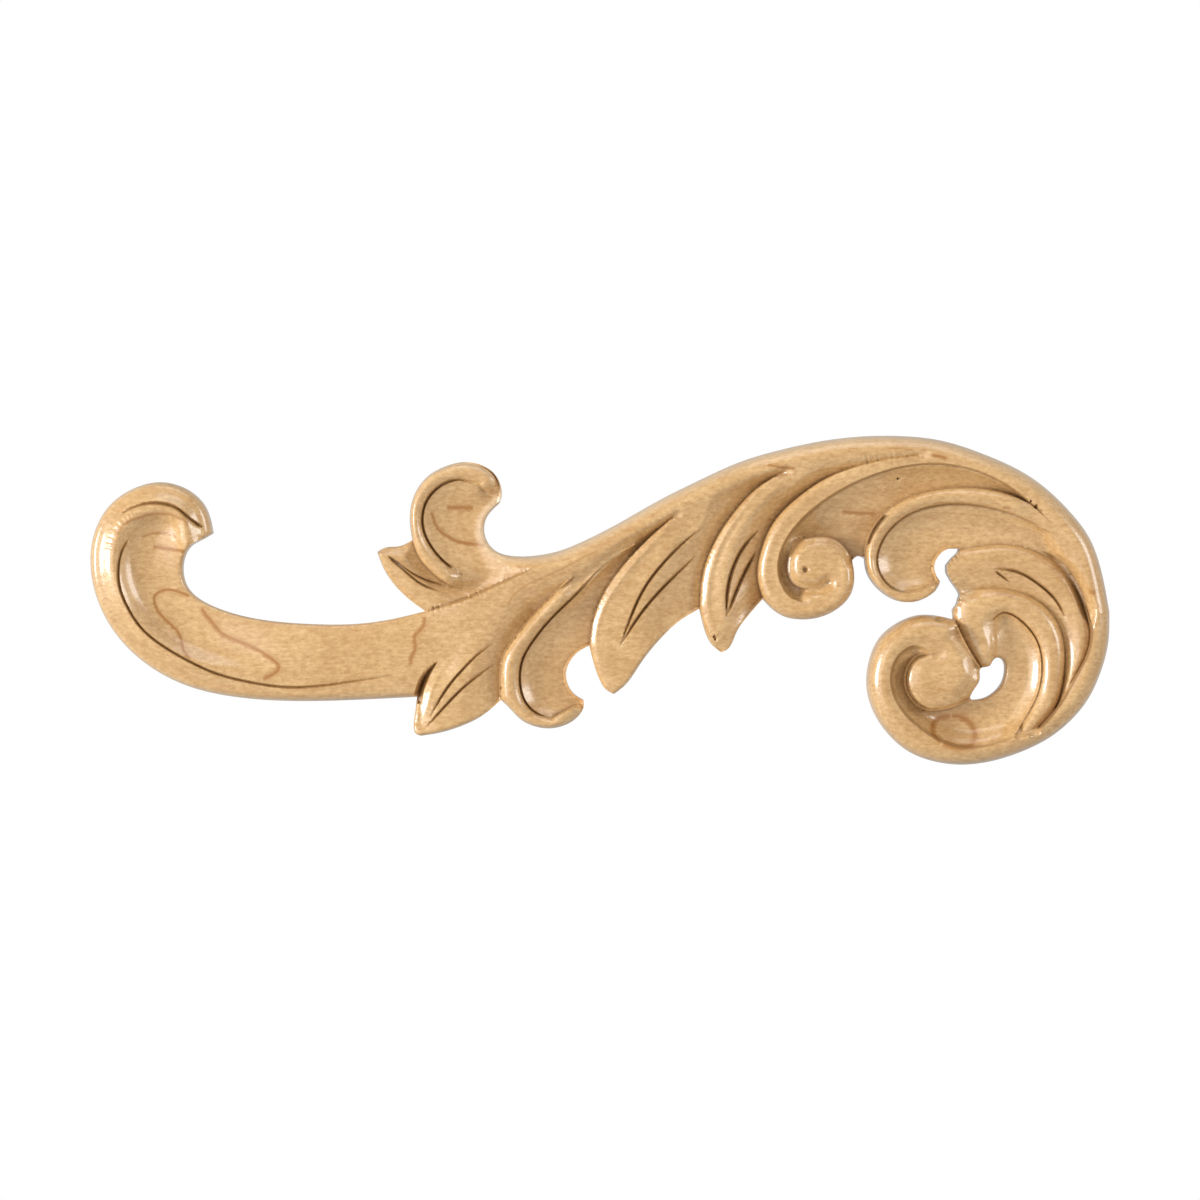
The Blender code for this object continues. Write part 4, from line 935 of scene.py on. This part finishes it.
mesh.polygons.foreach_set("use_smooth", np.ones(len(triangles), bool))
mesh.set_sharp_from_angle(angle=np.radians(CRISP_ANGLE))
applique = bpy.data.objects.new("carved_applique", mesh)
bpy.context.scene.collection.objects.link(applique)
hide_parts("acanthus_applique")
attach(applique, "root")
print("triangles:", len(triangles), "highest point in mm:", round(float(height.max()), 2))

# %% [markdown]
# ## Writing shader maths as expressions
#
# A wood has many small ingredients, and wiring them by hand takes pages. This small class wraps a socket, so
# that sums and products of patterns can be written as ordinary arithmetic. Any other node comes from its one
# method, which takes the node's type, its settings and the values or links of its sockets.

# %% Sockets with arithmetic
class Field:
    """A value that varies over the surface, held by a socket. Arithmetic on it adds Math nodes."""

    def __init__(self, tree, socket=None):
        self.tree, self.socket = tree, socket

    def node(self, kind, settings, values, output=0):
        made = self.tree.nodes.new(kind)
        for name, value in settings.items():
            setattr(made, name, value)
        for name, value in values.items():
            if isinstance(value, Field):
                self.tree.links.new(made.inputs[name], value.socket)
            else:
                made.inputs[name].default_value = value
        return Field(self.tree, made.outputs[output])

    def maths(self, operation, *values):
        return self.node("ShaderNodeMath", {"operation": operation}, dict(enumerate(values)))

    def __add__(self, other):
        return self.maths("ADD", self, other)

    def __sub__(self, other):
        return self.maths("SUBTRACT", self, other)

    def __rsub__(self, other):
        return self.maths("SUBTRACT", other, self)

    def __mul__(self, other):
        return self.maths("MULTIPLY", self, other)

    def __truediv__(self, other):
        return self.maths("DIVIDE", self, other)

    __radd__, __rmul__ = __add__, __mul__

    def fract(self):
        return self.maths("FRACT", self)

    def rise(self, low, high):
        """0 below low, 1 above high and an easy curve between."""
        return self.node("ShaderNodeMapRange", {"interpolation_type": "SMOOTHSTEP"},
                         {"Value": self, "From Min": low, "From Max": high})


print("operators on a field: + - * /")

# %% [markdown]
# ## The sealed wood
#
# One material covers the whole piece. The sealer is a clear skin over the wood, which the Principled shader
# has as its coat. Patterns read the object's own coordinates, in metres.

# %% Material and coat
COAT = 0.85
COAT_ROUGHNESS = 0.16
wood = bpy.data.materials.new("carved_maple")
wood.use_nodes = True
shader = wood.node_tree.nodes["Principled BSDF"]
shader.inputs["Coat Weight"].default_value = COAT
shader.inputs["Coat Roughness"].default_value = COAT_ROUGHNESS
tree = Field(wood.node_tree)
place = tree.node("ShaderNodeTexCoord", {}, {}, "Object")
print("material:", wood.name)

# %% [markdown]
# ## Patterns at the wood's own scale
#
# The grain runs along the length, so every pattern is stretched that way. A noise whose coordinates are
# squeezed along X becomes streaks. The coordinates run through the wood and not over its surface, so that a
# carved hollow shows the streaks bending as it should.

# %% Stretched noise and specks
def stretched(across, up, deep, detail, rough, shift=0.0):
    """Noise with this many cells to a metre along X, Z and Y, moved by a shift so that no two are alike."""
    scaled = tree.node("ShaderNodeVectorMath", {"operation": "MULTIPLY_ADD"},
                       {0: place, 1: (across, deep, up), 2: (shift, shift, shift)})
    return tree.node("ShaderNodeTexNoise", {}, {"Vector": scaled, "Scale": 1.0, "Detail": detail,
                                                 "Roughness": rough})


fibre = stretched(260, 1500, 1500, 3.0, 0.65)
streak = stretched(18, 320, 320, 3.0, 0.6, 7.0)
mottle = stretched(45, 70, 70, 3.0, 0.55, 3.0)
grain = stretched(620, 1100, 1100, 3.0, 0.7, 17.0)
flecks = stretched(700, 2600, 2600, 1.0, 0.5, 11.0).rise(0.62, 0.72)
print("patterns: fibre, streak, mottle, grain, flecks")

# %% [markdown]
# ## Growth rings
#
# The board was sawn flat, so the rings lie nearly parallel to the face, and the carving cuts through them
# like a hill through a map's contours. A ring's number is its depth over the ring's width, bent by slow
# waves. The late wood comes in slowly through each ring and ends sharply where the next begins.

# %% Rings through the depth
RING_WIDTH = 0.0031
across, deep, up = (tree.node("ShaderNodeSeparateXYZ", {}, {0: place}, i) for i in range(3))
bend = stretched(9, 16, 16, 1.0, 0.4, 1.5)
turn = ((deep * -1 + bend * 0.016 + up * 0.05) / RING_WIDTH).fract()
late = turn.rise(0.3, 0.97) * (1 - turn.rise(0.97, 1.0))
print("ring width in mm:", 1000 * RING_WIDTH)

# %% [markdown]
# ## Colour
#
# Pale maple, mottled with a warmer tone, and browner in the late wood and in the figure's lines. It is
# darker in the cuts and at the feet of walls, where dirt lies and painted shade is added, greyer on the raw
# back, and paler along the upper edges as a painted sheen. A growth line is dark on the line itself, fades
# with the square of its distance, and trails off on one side only. Colours are mixed by Mix nodes, because a
# Math node would turn them grey.

# %% Base colour
PALE = (0.720, 0.472, 0.222, 1.0)
WARM = (0.460, 0.253, 0.087, 1.0)
LATE = (0.370, 0.158, 0.032, 1.0)
# Dark brown for the dirt and the painted shade
DIRT_AND_SHADE = (0.190, 0.086, 0.024, 1.0)
# Raw wood for the unsealed back, also used for the painted sheen on the upper edges
RAW_AND_SHEEN = (0.720, 0.580, 0.410, 1.0)


def blend(amount, first, second):
    """First colour where the amount is 0, second where it is 1."""
    return tree.node("ShaderNodeMix", {"data_type": "RGBA"}, {0: amount, 6: first, 7: second}, 2)


def kept(name):
    """The mesh's own attribute of that name."""
    return tree.node("ShaderNodeAttribute", {"attribute_name": name}, {}, "Fac")


side_here, strength_here = kept("figure_side") + grain * 2.4 - 1.2, kept("figure_strength")
on_line = (1 - (side_here * side_here) / 2.5).rise(0.0, 0.7)
trail = side_here.rise(-0.8, 0.2) * (1 - side_here.rise(0.2, 5.0))
figure = strength_here * (on_line * 0.62 + trail * 0.46)
tone = streak * 0.22 + fibre * 0.50 + mottle * 0.38 + grain * 0.95 - 0.525
colour = blend(tone.rise(0.12, 0.88), PALE, WARM)
colour = blend(late * 0.16, colour, LATE)
colour = blend(flecks * 0.35, colour, LATE)
colour = blend(figure, colour, LATE)
# Darker in the cuts and at the feet of walls: dirt, and painted shade
colour = blend(kept("dirt_and_shade") * 0.62, colour, DIRT_AND_SHADE)
# Greyer raw wood on the back, and a painted sheen that pales the upper edges
colour = blend(kept("raw_and_sheen") * 0.6, colour, RAW_AND_SHEEN)
wood.node_tree.links.new(shader.inputs["Base Color"], colour.socket)
print("nodes for the colour:", len(wood.node_tree.nodes))

# %% [markdown]
# ## Sheen and surface
#
# The satin sealer is smoother on the open wood than in the cuts, where the tool left it rough, and than on
# the raw back. The fibres stand proud by a few hundredths of a millimetre, and the gouge left faint ripples,
# which a Bump node shows well enough.

# %% Roughness and bump
rough = 0.24 + fibre * 0.14 + kept("dirt_and_shade") * 0.25 + kept("raw_and_sheen") * 0.3
wood.node_tree.links.new(shader.inputs["Roughness"], rough.socket)
ripple = stretched(300, 420, 420, 2.0, 0.5, 31.0)
bumps = tree.node("ShaderNodeBump", {}, {"Strength": 0.6, "Distance": 0.0003,
                                         "Height": grain * 0.6 + fibre * 0.3 + ripple * 0.6})
wood.node_tree.links.new(shader.inputs["Normal"], bumps.socket)
mesh.materials.append(wood)
print("materials on the piece:", len(mesh.materials))

# %% [markdown]
# ## Floor and background
#
# A studio sweep would do for a background, but the piece is also looked at from behind. So the world itself
# is white, and a plain pale floor lies well below.

# %% Floor
FLOOR_LEVEL = -0.3
FLOOR_CORNERS = [(-1.2, -1.2), (1.2, -1.2), (1.2, 0.9), (-1.2, 0.9)]
floor_mesh = bpy.data.meshes.new("floor")
floor_mesh.from_pydata([(x, y, FLOOR_LEVEL) for x, y in FLOOR_CORNERS], [], [(0, 1, 2, 3)])
floor = bpy.data.objects.new("floor", floor_mesh)
bpy.context.scene.collection.objects.link(floor)
floor_paint = bpy.data.materials.new("pale_floor")
floor_paint.use_nodes = True
floor_paint.node_tree.nodes["Principled BSDF"].inputs["Base Color"].default_value = (0.8, 0.8, 0.79, 1)
floor_paint.node_tree.nodes["Principled BSDF"].inputs["Roughness"].default_value = 0.9
floor_mesh.materials.append(floor_paint)
print("floor level in metres:", FLOOR_LEVEL)

# %% White world
AMBIENT = 0.28
MIRRORED = 0.55
world = bpy.data.worlds.new("studio")
world.use_nodes = True
bpy.context.scene.world = world
air = Field(world.node_tree)
seen = air.node("ShaderNodeLightPath", {}, {}, "Is Camera Ray")
mirrored = air.node("ShaderNodeLightPath", {}, {}, "Is Glossy Ray")
air_strength = seen * (1 - AMBIENT) + mirrored * (MIRRORED - AMBIENT) + AMBIENT
background = world.node_tree.nodes["Background"]
background.inputs["Color"].default_value = (1, 1, 1, 1)
world.node_tree.links.new(background.inputs["Strength"], air_strength.socket)
bpy.context.scene.view_settings.view_transform = "Standard"
print("world strength seen 1.0, mirrored", MIRRORED, "as light", AMBIENT)

# %% [markdown]
# ## Light
#
# Two soft boxes stand far out at the sides, the left one stronger, a weaker one stands nearer in front, and a
# small one hangs above. The side ones graze the relief, so that each leaf shows a light flank and a dark one,
# with no hard shadow.

# %% Soft boxes
def soft_box(name, place, size, watts):
    """A square area light that faces the middle of the piece."""
    light = bpy.data.lights.new(name, "AREA")
    light.shape, light.size, light.energy = "SQUARE", size, watts
    box = bpy.data.objects.new(name, light)
    box.location = place
    box.rotation_euler = (-Vector(place)).to_track_quat("-Z", "Y").to_euler()
    bpy.context.scene.collection.objects.link(box)


soft_box("left_box", (-2.2, -0.98, 0.20), size=0.8, watts=58.0)
soft_box("front_box", (-0.90, -1.42, 0.15), size=0.9, watts=5.4)
soft_box("right_box", (2.1, -1.24, 0.70), size=1.1, watts=28.0)
soft_box("top_box", (0.1, -0.40, 1.00), size=0.7, watts=3.0)

# %% [markdown]
# ## Camera
#
# The piece is seen square on from far away with a long lens, so that it shows almost no perspective. At the
# depth of the leaves, the frame is as wide as the drawing.

# %% Camera square on
DISTANCE = 1.5
LEAVES_STAND = 0.007
SENSOR = 36
camera = bpy.data.objects.new("camera", bpy.data.cameras.new("camera"))
camera.data.sensor_width = SENSOR
camera.data.lens = SENSOR * DISTANCE / (DRAWING_WIDTH * SQUARE)
camera.location = (0, -DISTANCE - LEAVES_STAND, 0)
camera.rotation_euler = (np.pi / 2, 0, 0)
bpy.context.scene.collection.objects.link(camera)
bpy.context.scene.camera = camera
print("lens in mm:", round(camera.data.lens, 1))

# %% [markdown]
# ## The end
#
# The finished piece has to stay in the solid's box. The last call brings the scene up to date.

# %% Update the scene
bpy.context.view_layer.update()
